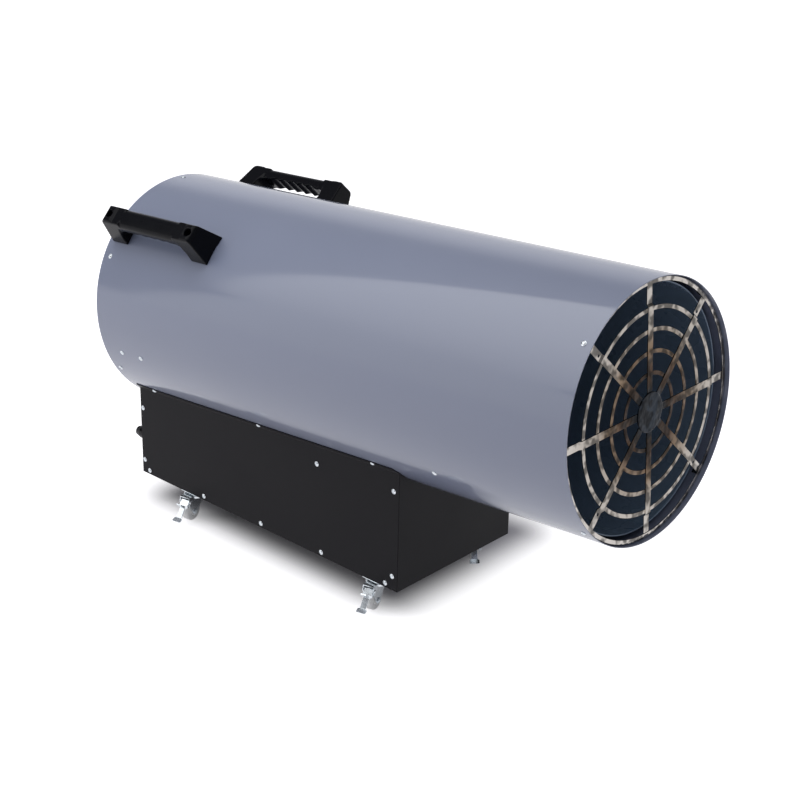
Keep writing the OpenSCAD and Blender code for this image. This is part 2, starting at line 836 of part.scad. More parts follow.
// Valve body behind the control panel, with its bosses up to the panel
module gas_valve() {
    boss = valve_in - sheet - seat;
    color("silver") difference() {
        union() {
            translate([base_x0 + valve_in, valve_y0, caster_h + valve_h]) cube([valve_d, valve_w, valve_hgt]);
            for (p = [[gas_button_y, gas_button_h], [knob_y, knob_h], [inlet_y, inlet_h]])
                on_panel(p[0], p[1]) translate([0, 0, -valve_in - seat]) cylinder(r = collar_r, h = boss + seat);
            for (p = [[gas_button_y, gas_button_h, collar_out], [knob_y, knob_h, knob_gap - free]])
                on_panel(p[0], p[1]) translate([0, 0, -valve_in])
                    cylinder(r = collar_hole_r - seat, h = valve_in + p[2]);
            for (y = [valve_y0 + valve_w * 0.25, valve_y0 + valve_w * 0.75])
                translate([base_x0 + valve_in + valve_d / 2, y, caster_h + sheet + seat])
                    cylinder(r = stem_r * 1.5, h = valve_h - sheet);
        }
        for (p = [[gas_button_y, gas_button_h], [knob_y, knob_h]])
            on_panel(p[0], p[1]) translate([0, 0, -valve_in - valve_d / 2])
                cylinder(r = stem_r + free, h = valve_in + valve_d);
        on_panel(gas_button_y, gas_button_h) translate([0, 0, -gas_button_travel - 2 * gas_button_sunk])
            cylinder(r = gas_button_r + free, h = valve_in);
        on_panel(inlet_y, inlet_h) translate([0, 0, -valve_in - valve_d / 2])
            cylinder(r = inlet_r + seat, h = valve_in + valve_d);
        translate([base_x0 + valve_in + valve_d / 2, 0, pipe_z]) rotate([0, 90, 0])
            cylinder(r = pipe_r + seat, h = valve_d);
    }
}

module gas_inlet() {
    color("goldenrod") on_panel(inlet_y, inlet_h) difference() {
        union() {
            translate([0, 0, -valve_in]) cylinder(r = inlet_r, h = valve_in + inlet_out);
            translate([0, 0, seat]) cylinder(r = inlet_hex_r, h = inlet_hex_l, $fn = 6);
        }
        translate([0, 0, inlet_out - inlet_hex_l - inlet_r]) cylinder(r = inlet_bore_r, h = inlet_out);
    }
}

// Pipe in the middle plane: along the box, up through the tube's slot and forward into the jet
module gas_pipe() {
    start_x = base_x0 + valve_in + valve_d / 2 + seat;
    jet_end_x = cone_x0 - 2 * cut;
    along_x0 = bend_end_x / cos(tube_tilt);
    color("peru") {
        translate([start_x, 0, pipe_z]) rotate([0, 90, 0])
            cylinder(r = pipe_r, h = pipe_up_x - pipe_bend_r - start_x, $fn = 24);
        translate([pipe_up_x - pipe_bend_r, 0, pipe_z + pipe_bend_r]) rotate([90, 0, 0]) rotate([0, 0, -90])
            rotate_extrude(angle = 90) translate([pipe_bend_r, 0]) circle(r = pipe_r, $fn = 24);
        translate([pipe_up_x, 0, pipe_z + pipe_bend_r])
            cylinder(r = pipe_r, h = bend_z - pipe_z - pipe_bend_r, $fn = 24);
        translate([pipe_up_x + pipe_bend_r, 0, bend_z]) rotate([90, 0, 0]) rotate([0, 0, 90 + tube_tilt])
            rotate_extrude(angle = 90 - tube_tilt) translate([pipe_bend_r, 0]) circle(r = pipe_r, $fn = 24);
        on_tube() along_x(along_x0, pipe_r, jet_end_x - along_x0);
    }
}

module ignition_unit() {
    x = base_x0 + mid_share * base_l;
    z = panel_top(x) - mid_drop;
    color("#2f2f33") difference() {
        translate([x - unit_l / 2, -base_in_w / 2 + seat, z + unit_over - unit_h]) cube([unit_l, unit_d, unit_h]);
        side_screw_holes();
    }
}

module cable_gland() {
    color("#141416") on_panel(gland_y, gland_h) difference() {
        union() {
            translate([0, 0, -flange / 2]) cylinder(r = gland_thread_r, h = flange);
            translate([0, 0, seat]) cylinder(r = gland_r, h = gland_out / 3, $fn = 6);
            translate([0, 0, gland_out / 3]) cylinder(r = gland_r - cut, h = gland_out / 3);
            translate([0, 0, gland_out * 2 / 3])
                cylinder(r1 = gland_r - cut, r2 = gland_r * 0.72, h = gland_out / 3);
            translate([0, 0, -sheet - seat - flange / 4]) cylinder(r = gland_r, h = flange / 4, $fn = 6);
        }
        translate([0, 0, -flange]) cylinder(r = gland_r * 0.42, h = flange + gland_out + cut);
    }
}

module rocker_frame() {
    color("#141416") on_panel(rocker_y, rocker_h) difference() {
        union() {
            translate([0, 0, rocker_bezel / 2 + seat])
                cube([rocker_w + 2 * rocker_bezel, rocker_l + 2 * rocker_bezel, rocker_bezel], center = true);
            translate([0, 0, -rocker_body_d / 2]) cube([rocker_w, rocker_l, rocker_body_d + weld], center = true);
        }
        translate([0, 0, rocker_body_d / 2 - rocker_w / 2]) cube([rocker_w - rocker_bezel, rocker_l - rocker_bezel,
            rocker_body_d], center = true);
    }
}

// Rocker at its off position: its lower half stands proud
module power_rocker() {
    l = rocker_w - rocker_bezel - 2 * free;
    w = rocker_l - rocker_bezel - 2 * free;
    color("firebrick") on_panel(rocker_y, rocker_h) rotate([0, rocker_rock, 0]) intersection() {
        rotate([90, 0, 0]) linear_extrude(height = w, center = true) polygon([
            [-l / 2, -rocker_proud], [l / 2, -rocker_proud], [l / 2, rocker_proud],
            [0, rocker_proud / 2], [-l / 2, rocker_proud]
        ]);
        rotate([90, 0, 0]) cylinder(r = l / 2, h = w, center = true);
    }
}

module piezo_igniter() {
    color("#202024") on_panel(piezo_y, piezo_h) difference() {
        union() {
            translate([0, 0, -piezo_l]) cylinder(r = piezo_r, h = piezo_l + collar_out);
            translate([0, 0, seat]) cylinder(r = piezo_nut_r, h = collar_out);
            translate([0, 0, -sheet - seat - collar_out]) cylinder(r = piezo_nut_r, h = collar_out, $fn = 6);
        }
        translate([0, 0, -button_travel - 2 * collar_out]) cylinder(r = button_r + free, h = piezo_l);
    }
}

module ignition_button() {
    color("firebrick") on_panel(piezo_y, piezo_h) translate([0, 0, -collar_out]) {
        cylinder(r = button_r, h = button_out + collar_out - cut);
        cylinder(r = button_r - cut, h = button_out + collar_out);
    }
}

module gas_button() {
    color("firebrick") on_panel(gas_button_y, gas_button_h) {
        translate([0, 0, -valve_in]) cylinder(r = stem_r, h = valve_in, $fn = 32);
        translate([0, 0, -gas_button_sunk])
            cylinder(r = gas_button_r, h = gas_button_sunk + gas_button_out - cut);
        translate([0, 0, -gas_button_sunk])
            cylinder(r = gas_button_r - cut, h = gas_button_sunk + gas_button_out);
    }
}

module heat_knob() {
    color("#141416") on_panel(knob_y, knob_h) difference() {
        union() {
            translate([0, 0, -valve_in]) cylinder(r = stem_r, h = valve_in + knob_gap + cut, $fn = 32);
            translate([0, 0, knob_gap]) cylinder(r1 = knob_r, r2 = knob_r - 2 * cut, h = knob_l);
        }
        for (i = [0 : knob_flute_n - 1]) rotate([0, 0, (i + 0.5) * 360 / knob_flute_n])
            translate([knob_r, 0, knob_gap + collar_out]) cylinder(r = knob_flute_r, h = knob_l, $fn = 16);
        translate([-knob_flute_r / 2, knob_r / 4, knob_gap + knob_l - cut / 2]) cube([knob_flute_r, knob_r, cut]);
    }
}

function handle_top(x) = handle_h - (abs(x) < handle_bar_l / 2 ? handle_notch : 0);

// Side view of a handle, length along X and height over the tube along Y
module handle_side() {
    half = handle_l / 2;
    top_half = half - handle_slant;
    lean = atan(handle_slant / handle_h);
    sunk = tube_r;
    difference() {
        polygon(concat(
            [[-half, -sunk], [half, -sunk], [half, 0]],
            arc(top_half - handle_corner_r, handle_h - handle_corner_r, handle_corner_r, lean, 90),
            [[handle_bar_l / 2, handle_h], [handle_bar_l / 2 - handle_notch, handle_h - handle_notch],
             [-handle_bar_l / 2 + handle_notch, handle_h - handle_notch], [-handle_bar_l / 2, handle_h]],
            arc(-top_half + handle_corner_r, handle_h - handle_corner_r, handle_corner_r, 90, 180 - lean),
            [[-half, 0]]
        ));
        polygon(concat(
            [[-handle_open_l / 2, -sunk - cut]],
            arc(-handle_open_l / 2 + handle_open_r, handle_open_h - handle_open_r, handle_open_r, 180, 90),
            [for (i = [0 : finger_n * 8]) let (s = i / (finger_n * 8))
                [finger_l * (s - 0.5), handle_open_h + finger_d * abs(sin(s * finger_n * 180))]],
            arc(handle_open_l / 2 - handle_open_r, handle_open_h - handle_open_r, handle_open_r, 90, 0),
            [[handle_open_l / 2, -sunk - cut]]
        ));
    }
}

// End view of a handle, width along X and height over the tube along Y
module handle_end() {
    polygon(concat(
        [[-handle_w / 2, -tube_r], [handle_w / 2, -tube_r], [handle_w / 2, 0]],
        arc(handle_face_w / 2 - handle_face_r, handle_h - handle_face_r, handle_face_r, 10, 90),
        arc(-handle_face_w / 2 + handle_face_r, handle_h - handle_face_r, handle_face_r, 90, 170),
        [[-handle_w / 2, 0]]
    ));
}

module handle_bolt_places() {
    for (side = [-1, 1], x = [-bolt_off, bolt_off])
        radial(side * handle_deg) translate([handle_mid + x, 0, tube_r]) children();
}

module handle_bolt_holes() {
    handle_bolt_places() translate([0, 0, -handle_h]) cylinder(r = bolt_r + seat, h = 2 * handle_h, $fn = 24);
}

module handle(side) {
    on_tube() difference() {
        radial(side * handle_deg) translate([handle_mid, 0, tube_r]) intersection() {
            rotate([90, 0, 0]) linear_extrude(height = 2 * handle_w, center = true) handle_side();
            rotate([90, 0, 90]) linear_extrude(height = 2 * handle_l, center = true) handle_end();
        }
        along_x(tube_rear - cut, tube_r + seat, tube_l);
        handle_bolt_holes();
        handle_bolt_places() translate([0, 0, handle_h - bolt_recess_d]) cylinder(r = bolt_recess_r, h = bolt_recess_d + cut);
    }
}

module handle_left() {
    color("#17171a") handle(1);
}

module handle_right() {
    color("#17171a") handle(-1);
}

module handle_bolts() {
    head_z = handle_h - bolt_recess_d + seat;
    nut_z = -tube_wall - (tube_r - tube_under(nut_r)) - seat - nut_h;
    color("silver") on_tube() handle_bolt_places() {
        translate([0, 0, head_z]) difference() {
            cylinder(r = bolt_head_r, h = bolt_head_h);
            translate([0, 0, bolt_head_h / 2]) cylinder(r = bolt_r * 0.9, h = bolt_head_h, $fn = 6);
        }
        translate([0, 0, nut_z - cut]) cylinder(r = bolt_r, h = head_z - nut_z + 2 * cut, $fn = 24);
        translate([0, 0, nut_z]) cylinder(r = nut_r, h = nut_h, $fn = 6);
    }
}

module tube_screws() {
    color("gainsboro") on_tube() tube_screw_places() translate([0, 0, tube_r]) screw();
}

module panel_screws() {
    color("gainsboro") side_screw_places() screw();
}

module caster_screws() {
    nut_h_small = screw_head_h;
    color("gainsboro") for (p = caster_places, sx = [-1, 1], sy = [-1, 1])
        translate([p[0] + sx * plate_screw_c / 2, p[1] + sy * plate_screw_c / 2, caster_h - plate_t]) rotate([180, 0, 0]) {
            screw(shank_l = plate_t + sheet + nut_h_small + cut, head_r = screw_head_r * 0.75,
                  head_h = screw_head_h * 0.7);
            translate([0, 0, -plate_t - sheet - nut_h_small]) cylinder(r = 2 * screw_r, h = nut_h_small - seat, $fn = 6);
        }
}

module at_caster(i) {
    translate([caster_places[i][0], caster_places[i][1], caster_h]) rotate([0, 0, caster_turns[i]]) children();
}

module caster_plates() {
    half = plate_w / 2;
    color("gainsboro") for (p = caster_places) translate([p[0], p[1], caster_h]) difference() {
        union() {
            translate([0, 0, -plate_t]) linear_extrude(height = plate_t) union() {
                square([plate_w, plate_w - 2 * plate_corner_r], center = true);
                square([plate_w - 2 * plate_corner_r, plate_w], center = true);
                for (sx = [-1, 1], sy = [-1, 1])
                    translate([sx * (half - plate_corner_r), sy * (half - plate_corner_r)])
                        circle(r = plate_corner_r, $fn = 32);
            }
            translate([0, 0, -plate_t - plate_race_h]) cylinder(r1 = plate_race_r - plate_race_h, r2 = plate_race_r,
                h = plate_race_h + weld);
            translate([0, 0, fork_top_z - fork_t - free]) cylinder(r = king_r, h = -fork_top_z + fork_t);
            translate([0, 0, fork_top_z - fork_t - free - plate_t]) cylinder(r = king_head_r, h = plate_t);
        }
        for (sx = [-1, 1], sy = [-1, 1]) translate([sx * plate_screw_c / 2, sy * plate_screw_c / 2, -plate_t - cut])
            cylinder(r = screw_hole_r, h = plate_t + 2 * cut, $fn = 24);
    }
}

// Side outline of a fork leg in the trail's plane, trail along -X and height along Y
module leg_outline() {
    top = fork_top_z - fork_t / 2;
    polygon(concat(
        [[fork_dome_r * 0.72, top]],
        [[pivot_y - pivot_eye_r * 0.6, top]],
        arc(pivot_y, pivot_z, pivot_eye_r, 130, 230),
        arc(-trail, axle_z, leg_eye_r, 200, 330),
        [[fork_dome_r * 0.72, top - fork_dome_h]]
    ));
}

module caster_fork(i) {
    color("gainsboro") at_caster(i) difference() {
        union() {
            translate([0, 0, fork_top_z - fork_t]) cylinder(r = fork_dome_r, h = fork_t);
            translate([0, 0, fork_top_z - fork_dome_h]) difference() {
                cylinder(r = fork_dome_r, h = fork_dome_h);
                translate([0, 0, -cut]) cylinder(r = fork_dome_r - fork_t, h = fork_dome_h - fork_t + cut + weld);
                translate([-leg_in, -2 * fork_dome_r, -cut]) cube([2 * leg_in, 2 * fork_dome_r, fork_dome_h - fork_t + cut]);
            }
            translate([-leg_in - fork_t, pivot_y - pivot_eye_r * 0.6, fork_top_z - fork_t])
                cube([2 * (leg_in + fork_t), -pivot_y, fork_t]);
            for (side = [-1, 1]) translate([side * (leg_in + fork_t / 2), 0, 0])
                rotate([90, 0, 90]) linear_extrude(height = fork_t, center = true) leg_outline();
        }
        translate([0, 0, fork_top_z - 2 * fork_t]) cylinder(r = king_r + turn_fit, h = 3 * fork_t);
        pin_bore(-trail, axle_z, axle_r + seat);
        pin_bore(pivot_y, pivot_z, pivot_r + seat);
        translate([0, 0, fork_top_z - fork_t - plate_t - 2 * free]) cylinder(r = king_head_r + free, h = plate_t + 2 * free);
    }
}

module pin_bore(y, z, r) {
    translate([0, y, z]) rotate([0, 90, 0]) cylinder(r = r, h = 4 * wheel_w, center = true, $fn = 32);
}

module caster_pins(i) {
    out = leg_in + fork_t + seat;
    color("silver") at_caster(i) {
        translate([0, -trail, axle_z]) rotate([0, 90, 0]) {
            cylinder(r = axle_r, h = 2 * (out + weld), center = true, $fn = 32);
            for (side = [0, 180]) rotate([side, 0, 0]) translate([0, 0, out])
                cylinder(r = axle_head_r, h = axle_head_h, $fn = 6);
        }
        translate([0, pivot_y, pivot_z]) rotate([0, 90, 0]) {
            cylinder(r = pivot_r, h = 2 * (out + weld), center = true, $fn = 32);
            for (side = [0, 180]) rotate([side, 0, 0]) translate([0, 0, out])
                cylinder(r = pivot_r * 1.6, h = fork_t, $fn = 32);
        }
    }
}

module caster_wheel(i) {
    r = wheel_d / 2;
    half = wheel_w / 2;
    rim = half - wheel_dish;
    color("white") at_caster(i) translate([0, -trail, axle_z]) rotate([0, 90, 0]) rotate_extrude() polygon(concat(
        [[axle_r + turn_fit, -half], [wheel_hub_r, -half], [wheel_hub_r + wheel_dish, -rim + wheel_dish],
         [wheel_bead_r0, -rim + wheel_dish], [wheel_bead_r0 + wheel_dish, -rim], [wheel_bead_r1, -rim]],
        arc(r - tread_round, -rim + tread_round, tread_round, -90, 0),
        arc(r - tread_round, rim - tread_round, tread_round, 0, 90),
        [[wheel_bead_r1, rim], [wheel_bead_r0 + wheel_dish, rim], [wheel_bead_r0, rim - wheel_dish],
         [wheel_hub_r + wheel_dish, rim - wheel_dish], [wheel_hub_r, half], [axle_r + turn_fit, half]]
    ));
}

// Side outline of the brake pedal round its pivot: an eye, a shoe over the tread and a long toe
module pedal_outline() {
    t = pedal_t;
    eye = pivot_r + t;
    polygon(concat(
        arc(0, 0, eye, 100, -40),
        [[-1 * t, -6.2 * t], [-5 * t, -6.5 * t], [-13 * t, -17 * t], [-19 * t, -19 * t],
         [-19.6 * t, -18 * t], [-13.8 * t, -15.8 * t], [-6.8 * t, -6.2 * t],
         [-12 * t, -1.2 * t], [-13.4 * t, 0.9 * t], [-12.2 * t, 1.6 * t], [-10.6 * t, 0], [-5 * t, -3.4 * t]]
    ));
}

module brake_pedal(i) {
    w = 2 * (leg_in - free);
    color("gainsboro") at_caster(i) translate([0, pivot_y, pivot_z]) difference() {
        intersection() {
            rotate([90, 0, 90]) linear_extrude(height = w, center = true) pedal_outline();
            translate([0, 0, -wheel_d]) linear_extrude(height = 2 * wheel_d) polygon([
                [-w / 2, 3 * pedal_t], [w / 2, 3 * pedal_t], [w / 2, -4 * pedal_t], [w * 0.3, -6 * pedal_t],
                [w * 0.3, -13 * pedal_t], [w / 2, -15 * pedal_t], [w / 2, -18.6 * pedal_t],
                [w * 0.4, -20 * pedal_t], [-w * 0.4, -20 * pedal_t], [-w / 2, -18.6 * pedal_t],
                [-w / 2, -15 * pedal_t], [-w * 0.3, -13 * pedal_t], [-w * 0.3, -6 * pedal_t], [-w / 2, -4 * pedal_t]
            ]);
        }
        rotate([0, 90, 0]) cylinder(r = pivot_r + turn_fit, h = 2 * w, center = true, $fn = 32);
    }
}

outer_tube();
outlet_grille();
heat_liner();
liner_spacers();
burner_cone();
burner_plate();
burner_arms();
flame_spreader();
gas_jet();
igniter();
flame_sensor();
fan();
fan_shaft();
fan_motor();
motor_bracket();
rear_guard();
base_tray();
side_panel_left();
side_panel_right();
outlet_end_panel();
control_panel();
tube_rail_left();
tube_rail_right();
gas_valve();
gas_inlet();
gas_pipe();
ignition_unit();
cable_gland();
rocker_frame();
power_rocker();
piezo_igniter();
ignition_button();
gas_button();
heat_knob();
handle_left();
handle_right();
handle_bolts();
tube_screws();
panel_screws();
caster_screws();
caster_plates();
for (i = [0 : 3]) {
    caster_fork(i);
    caster_pins(i);
    caster_wheel(i);
    brake_pedal(i);
}
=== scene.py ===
"""Looks of a forced air heater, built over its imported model.

Every sub-assembly is a class that holds its sizes in millimetres and builds its meshes with
Blender's own operators. Every finish is a frozen dataclass that makes one procedural material.
"""

import logging
import math
from collections.abc import Iterable, Iterator, Sequence
from contextlib import contextmanager
from dataclasses import dataclass
from enum import Enum

import bpy
from mathutils import Matrix, Vector


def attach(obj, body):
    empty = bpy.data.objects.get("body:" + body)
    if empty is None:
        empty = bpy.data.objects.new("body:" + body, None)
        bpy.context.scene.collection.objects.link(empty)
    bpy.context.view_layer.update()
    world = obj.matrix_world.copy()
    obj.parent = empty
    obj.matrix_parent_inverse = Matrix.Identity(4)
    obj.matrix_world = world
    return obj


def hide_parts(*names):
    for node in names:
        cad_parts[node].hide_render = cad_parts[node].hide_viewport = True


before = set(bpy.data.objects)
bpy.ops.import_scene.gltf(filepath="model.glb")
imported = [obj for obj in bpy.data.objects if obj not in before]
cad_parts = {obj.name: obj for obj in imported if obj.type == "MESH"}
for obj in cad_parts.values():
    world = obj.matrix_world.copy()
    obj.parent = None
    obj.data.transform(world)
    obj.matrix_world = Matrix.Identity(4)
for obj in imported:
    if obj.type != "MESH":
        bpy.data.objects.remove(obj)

log = logging.getLogger("heater")

MM = 0.001
Point = tuple[float, float, float]
Flat = tuple[float, float]

# Distances in metres under which points merge and under which edges vanish
MADE_MERGE = (1e-6, 1e-7)
CAD_MERGE = (2e-5, 1e-6)
# Turn in degrees under which a CAD solid's triangles count as one flat face
CAD_FLAT = 0.6
# How much the large faces set the normals, of 100
FACE_WEIGHT = 80
# The CAD body that all the fixed pieces ride on
FIXED = "heater_body"


class Kind(Enum):
    """What an edit selects."""

    VERT = "VERT"
    EDGE = "EDGE"
    FACE = "FACE"


class Blend(Enum):
    """How one piece is combined with another."""

    CUT = "DIFFERENCE"
    FUSE = "UNION"
    KEEP = "INTERSECT"


class Axis(Enum):
    """The axis that a primitive lies along or a lathe turns about."""

    X = "X"
    Y = "Y"
    Z = "Z"

    @property
    def vector(self) -> Vector:
        """The axis as a unit vector."""
        return Vector([1.0 if c == self.value else 0.0 for c in "XYZ"])

    @property
    def turn(self) -> Point:
        """The turn in radians that lays a primitive's Z along the axis."""
        return {Axis.X: (0, math.pi / 2, 0), Axis.Y: (-math.pi / 2, 0, 0), Axis.Z: (0, 0, 0)}[self]


def deselect() -> None:
    """Leaves nothing selected, so that the next operator acts only on what it is given."""
    if bpy.context.mode != "OBJECT":
        bpy.ops.object.mode_set(mode="OBJECT")
    bpy.ops.object.select_all(action="DESELECT")


def merge_close(near: float, sliver: float) -> None:
    """Merges the edited mesh's close points and drops the edges that vanish.

    Args:
        near: The distance in metres under which points merge.
        sliver: The length in metres under which an edge vanishes.
    """
    bpy.ops.mesh.select_all(action="SELECT")
    bpy.ops.mesh.remove_doubles(threshold=near)
    bpy.ops.mesh.dissolve_degenerate(threshold=sliver)
    bpy.ops.mesh.select_all(action="SELECT")


def face_out() -> None:
    """Turns all the faces of the edited mesh outwards."""
    bpy.ops.mesh.select_all(action="SELECT")
    bpy.ops.mesh.normals_make_consistent(inside=False)


def lay(axis: Axis, spot: Flat, depth: float) -> Point:
    """Puts a flat point on a plane across an axis.

    Args:
        axis: The axis that the plane lies across.
        spot: The point: (y, z) for X, (x, z) for Y and (x, y) for Z.
        depth: The plane's place along the axis.

    Returns:
        The point in space.
    """
    a, b = spot
    return {Axis.X: (depth, a, b), Axis.Y: (a, depth, b), Axis.Z: (a, b, depth)}[axis]


def mirrored(right: Sequence[Flat]) -> list[Flat]:
    """Closes half an outline with its own mirror image.

    Args:
        right: The points on the right, which run on in the mirror image.

    Returns:
        The whole outline.
    """
    return [*right, *[(-a, b) for a, b in reversed(right)]]


class Piece:
    """One mesh on the bench, shaped with Blender's operators. Lengths are in millimetres."""

    def __init__(self, obj: bpy.types.Object, name: str) -> None:
        """Takes an object and names it.

        Args:
            obj: The mesh object.
            name: The piece's name.
        """
        self.obj = obj
        self.obj.name = name
        self.obj.data.name = name

    @classmethod
    def _added(cls, name: str) -> "Piece":
        """Wraps the primitive that was just added and puts its place into its mesh.

        Args:
            name: The piece's name.

        Returns:
            The new piece.
        """
        piece = cls(bpy.context.active_object, name)
        piece._settle()
        return piece

    @classmethod
    def box(cls, name: str, size: Point, at: Point = (0, 0, 0)) -> "Piece":
        """Adds a box.

        Args:
            name: The piece's name.
            size: Its full sizes along X, Y and Z.
            at: Its middle.

        Returns:
            The new piece.
        """
        deselect()
        bpy.ops.mesh.primitive_cube_add(size=1, location=Vector(at) * MM)
        bpy.context.active_object.scale = Vector(size) * MM
        return cls._added(name)

    @classmethod
    def cylinder(cls, name: str, radius: float, length: float, at: Point = (0, 0, 0), axis: Axis = Axis.Z,
                 sides: int = 48, open_ends: bool = False) -> "Piece":
        """Adds a cylinder.

        Args:
            name: The piece's name.
            radius: Its radius.
            length: Its length.
            at: Its middle.
            axis: The axis that it lies along.
            sides: How many sides it has.
            open_ends: Whether its ends are left open.

        Returns:
            The new piece.
        """
        deselect()
        bpy.ops.mesh.primitive_cylinder_add(
            vertices=sides, radius=radius * MM, depth=length * MM, location=Vector(at) * MM,
            rotation=axis.turn, end_fill_type="NOTHING" if open_ends else "NGON")
        return cls._added(name)

    @classmethod
    def torus(cls, name: str, radius: float, wire: float, at: Point, axis: Axis, around: int,
              section: int) -> "Piece":
        """Adds a ring of round wire.

        Args:
            name: The piece's name.
            radius: The ring's radius to the middle of the wire.
            wire: The wire's radius.
            at: The ring's middle.
            axis: The axis that the ring turns about.
            around: Segments round the ring.
            section: Segments round the wire.

        Returns:
            The new piece.
        """
        deselect()
        bpy.ops.mesh.primitive_torus_add(
            major_radius=radius * MM, minor_radius=wire * MM, location=Vector(at) * MM,
            rotation=axis.turn, major_segments=around, minor_segments=section)
        return cls._added(name)

    @classmethod
    def strand(cls, name: str, outline: Sequence[Point], closed: bool = False) -> "Piece":
        """Draws a line of edges by extruding one vertex from point to point.

        Args:
            name: The piece's name.
            outline: The points that the line runs through.
            closed: Whether the last point joins the first.

        Returns:
            The new piece.
        """
        deselect()
        bpy.ops.mesh.primitive_plane_add(size=MM, location=Vector(outline[0]) * MM)
        piece = cls._added(name)
        with piece.editing(Kind.VERT):
            bpy.ops.mesh.select_all(action="SELECT")
            bpy.ops.mesh.merge(type="CENTER")
            for here, there in zip(outline, outline[1:]):
                step = (Vector(there) - Vector(here)) * MM
                bpy.ops.mesh.extrude_region_move(TRANSFORM_OT_translate={"value": step})
            if closed:
                bpy.ops.mesh.select_all(action="SELECT")
                bpy.ops.mesh.edge_face_add()
        return piece

    @classmethod
    def lathe(cls, name: str, outline: Sequence[Flat], axis: Axis = Axis.Z, at: Point = (0, 0, 0),
              steps: int = 48) -> "Piece":
        """Turns an outline about an axis.

        Args:
            name: The piece's name.
            outline: Points as (radius, height along the axis).
            axis: The axis of turning.
            at: Where the outline's zero lies.
            steps: How many steps make a full turn.

        Returns:
            The new piece, closed where the outline is.
        """
        side = {Axis.X: Axis.Z, Axis.Y: Axis.Z, Axis.Z: Axis.X}[axis].vector
        points = [tuple(side * r + axis.vector * h) for r, h in outline]
        piece = cls.strand(name, points)
        with piece.editing(Kind.EDGE):
            bpy.ops.mesh.select_all(action="SELECT")
            bpy.ops.mesh.spin(steps=steps, angle=math.tau, center=(0, 0, 0), axis=axis.vector)
            merge_close(*MADE_MERGE)
            face_out()
        return piece.move(Matrix.Translation(Vector(at) * MM))

    @classmethod
    def plate(cls, name: str, outline: Sequence[Flat], thickness: float, axis: Axis = Axis.Z) -> "Piece":
        """Extrudes a flat closed outline evenly to both sides.

        Args:
            name: The piece's name.
            outline: Points in the plane: (y, z) for X, (x, z) for Y and (x, y) for Z.
            thickness: The full thickness.
            axis: The axis of the extrusion.

        Returns:
            The new piece.
        """
        piece = cls.strand(name, [lay(axis, p, -thickness / 2) for p in outline], closed=True)
        with piece.editing(Kind.FACE):
            bpy.ops.mesh.select_all(action="SELECT")
            bpy.ops.mesh.extrude_region_move(TRANSFORM_OT_translate={"value": axis.vector * thickness * MM})
            face_out()
        return piece

    @classmethod
    def folded(cls, name: str, line: Sequence[Flat], length: float, thickness: float,
               axis: Axis = Axis.X) -> "Piece":
        """Folds a sheet along a line that is the middle of its thickness.

        Args:
            name: The piece's name.
            line: Points in the plane across the axis, as for plate().
            length: The sheet's length along the axis.
            thickness: The sheet's thickness.
            axis: The axis that the folds lie along.

        Returns:
            The new piece.
        """
        piece = cls.strand(name, [lay(axis, p, -length / 2) for p in line])
        with piece.editing(Kind.EDGE):
            bpy.ops.mesh.select_all(action="SELECT")
            bpy.ops.mesh.extrude_region_move(TRANSFORM_OT_translate={"value": axis.vector * length * MM})
        return piece.modify("SOLIDIFY", thickness=thickness * MM, offset=0, use_even_offset=True)

    @classmethod
    def node_copy(cls, name: str, node: str) -> "Piece":
        """Copies a CAD node's mesh and merges its loose triangles.

        Args:
            name: The piece's name.
            node: The node to copy.

        Returns:
            The new piece.
        """
        deselect()
        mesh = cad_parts[node].data.copy()
        mesh.materials.clear()
        obj = bpy.data.objects.new(name, mesh)
        bpy.context.scene.collection.objects.link(obj)
        piece = cls(obj, name)
        with piece.editing(Kind.FACE):
            bpy.ops.mesh.customdata_custom_splitnormals_clear()
            merge_close(*CAD_MERGE)
            bpy.ops.mesh.dissolve_limited(angle_limit=math.radians(CAD_FLAT))
        return piece

    def _activate(self) -> None:
        """Selects this piece alone and makes it the active one."""
        deselect()
        bpy.context.view_layer.objects.active = self.obj
        self.obj.select_set(True)

    @contextmanager
    def editing(self, kind: Kind) -> Iterator[None]:
        """Opens the piece in edit mode with nothing selected.

        Args:
            kind: What the edit selects.

        Yields:
            Nothing, while the piece is open.
        """
        self._activate()
        bpy.ops.object.mode_set(mode="EDIT")
        bpy.ops.mesh.select_mode(type=kind.value)
        bpy.ops.mesh.select_all(action="DESELECT")
        yield
        bpy.ops.object.mode_set(mode="OBJECT")

    def _settle(self) -> None:
        """Puts the object's place, turn and scale into its mesh."""
        self._activate()
        bpy.ops.object.transform_apply(location=True, rotation=True, scale=True)

    def move(self, place: Matrix) -> "Piece":
        """Moves the piece by a matrix in metres.

        Args:
            place: The matrix, with no mirroring in it.

        Returns:
            This piece.
        """
        self.obj.matrix_world = place @ self.obj.matrix_world
        self._settle()
        return self

    def modify(self, kind: str, **settings: object) -> "Piece":
        """Adds a modifier and applies it.

        Args:
            kind: The modifier's type.
            **settings: Its settings, with lengths in metres.

        Returns:
            This piece.
        """
        self._activate()
        modifier = self.obj.modifiers.new(kind.title(), kind)
        for key, value in settings.items():
            setattr(modifier, key, value)
        bpy.ops.object.modifier_apply(modifier=modifier.name)
        return self

    def round_edges(self, width: float, segments: int = 2, over: float = 35) -> "Piece":
        """Rounds the edges that turn by more than an angle.

        Args:
            width: The rounding's width.
            segments: Its segments.
            over: The least angle between faces, in degrees.

        Returns:
            This piece.
        """
        return self.modify("BEVEL", width=width * MM, segments=segments, limit_method="ANGLE",
                           angle_limit=math.radians(over), miter_outer="MITER_ARC",
                           use_clamp_overlap=True)

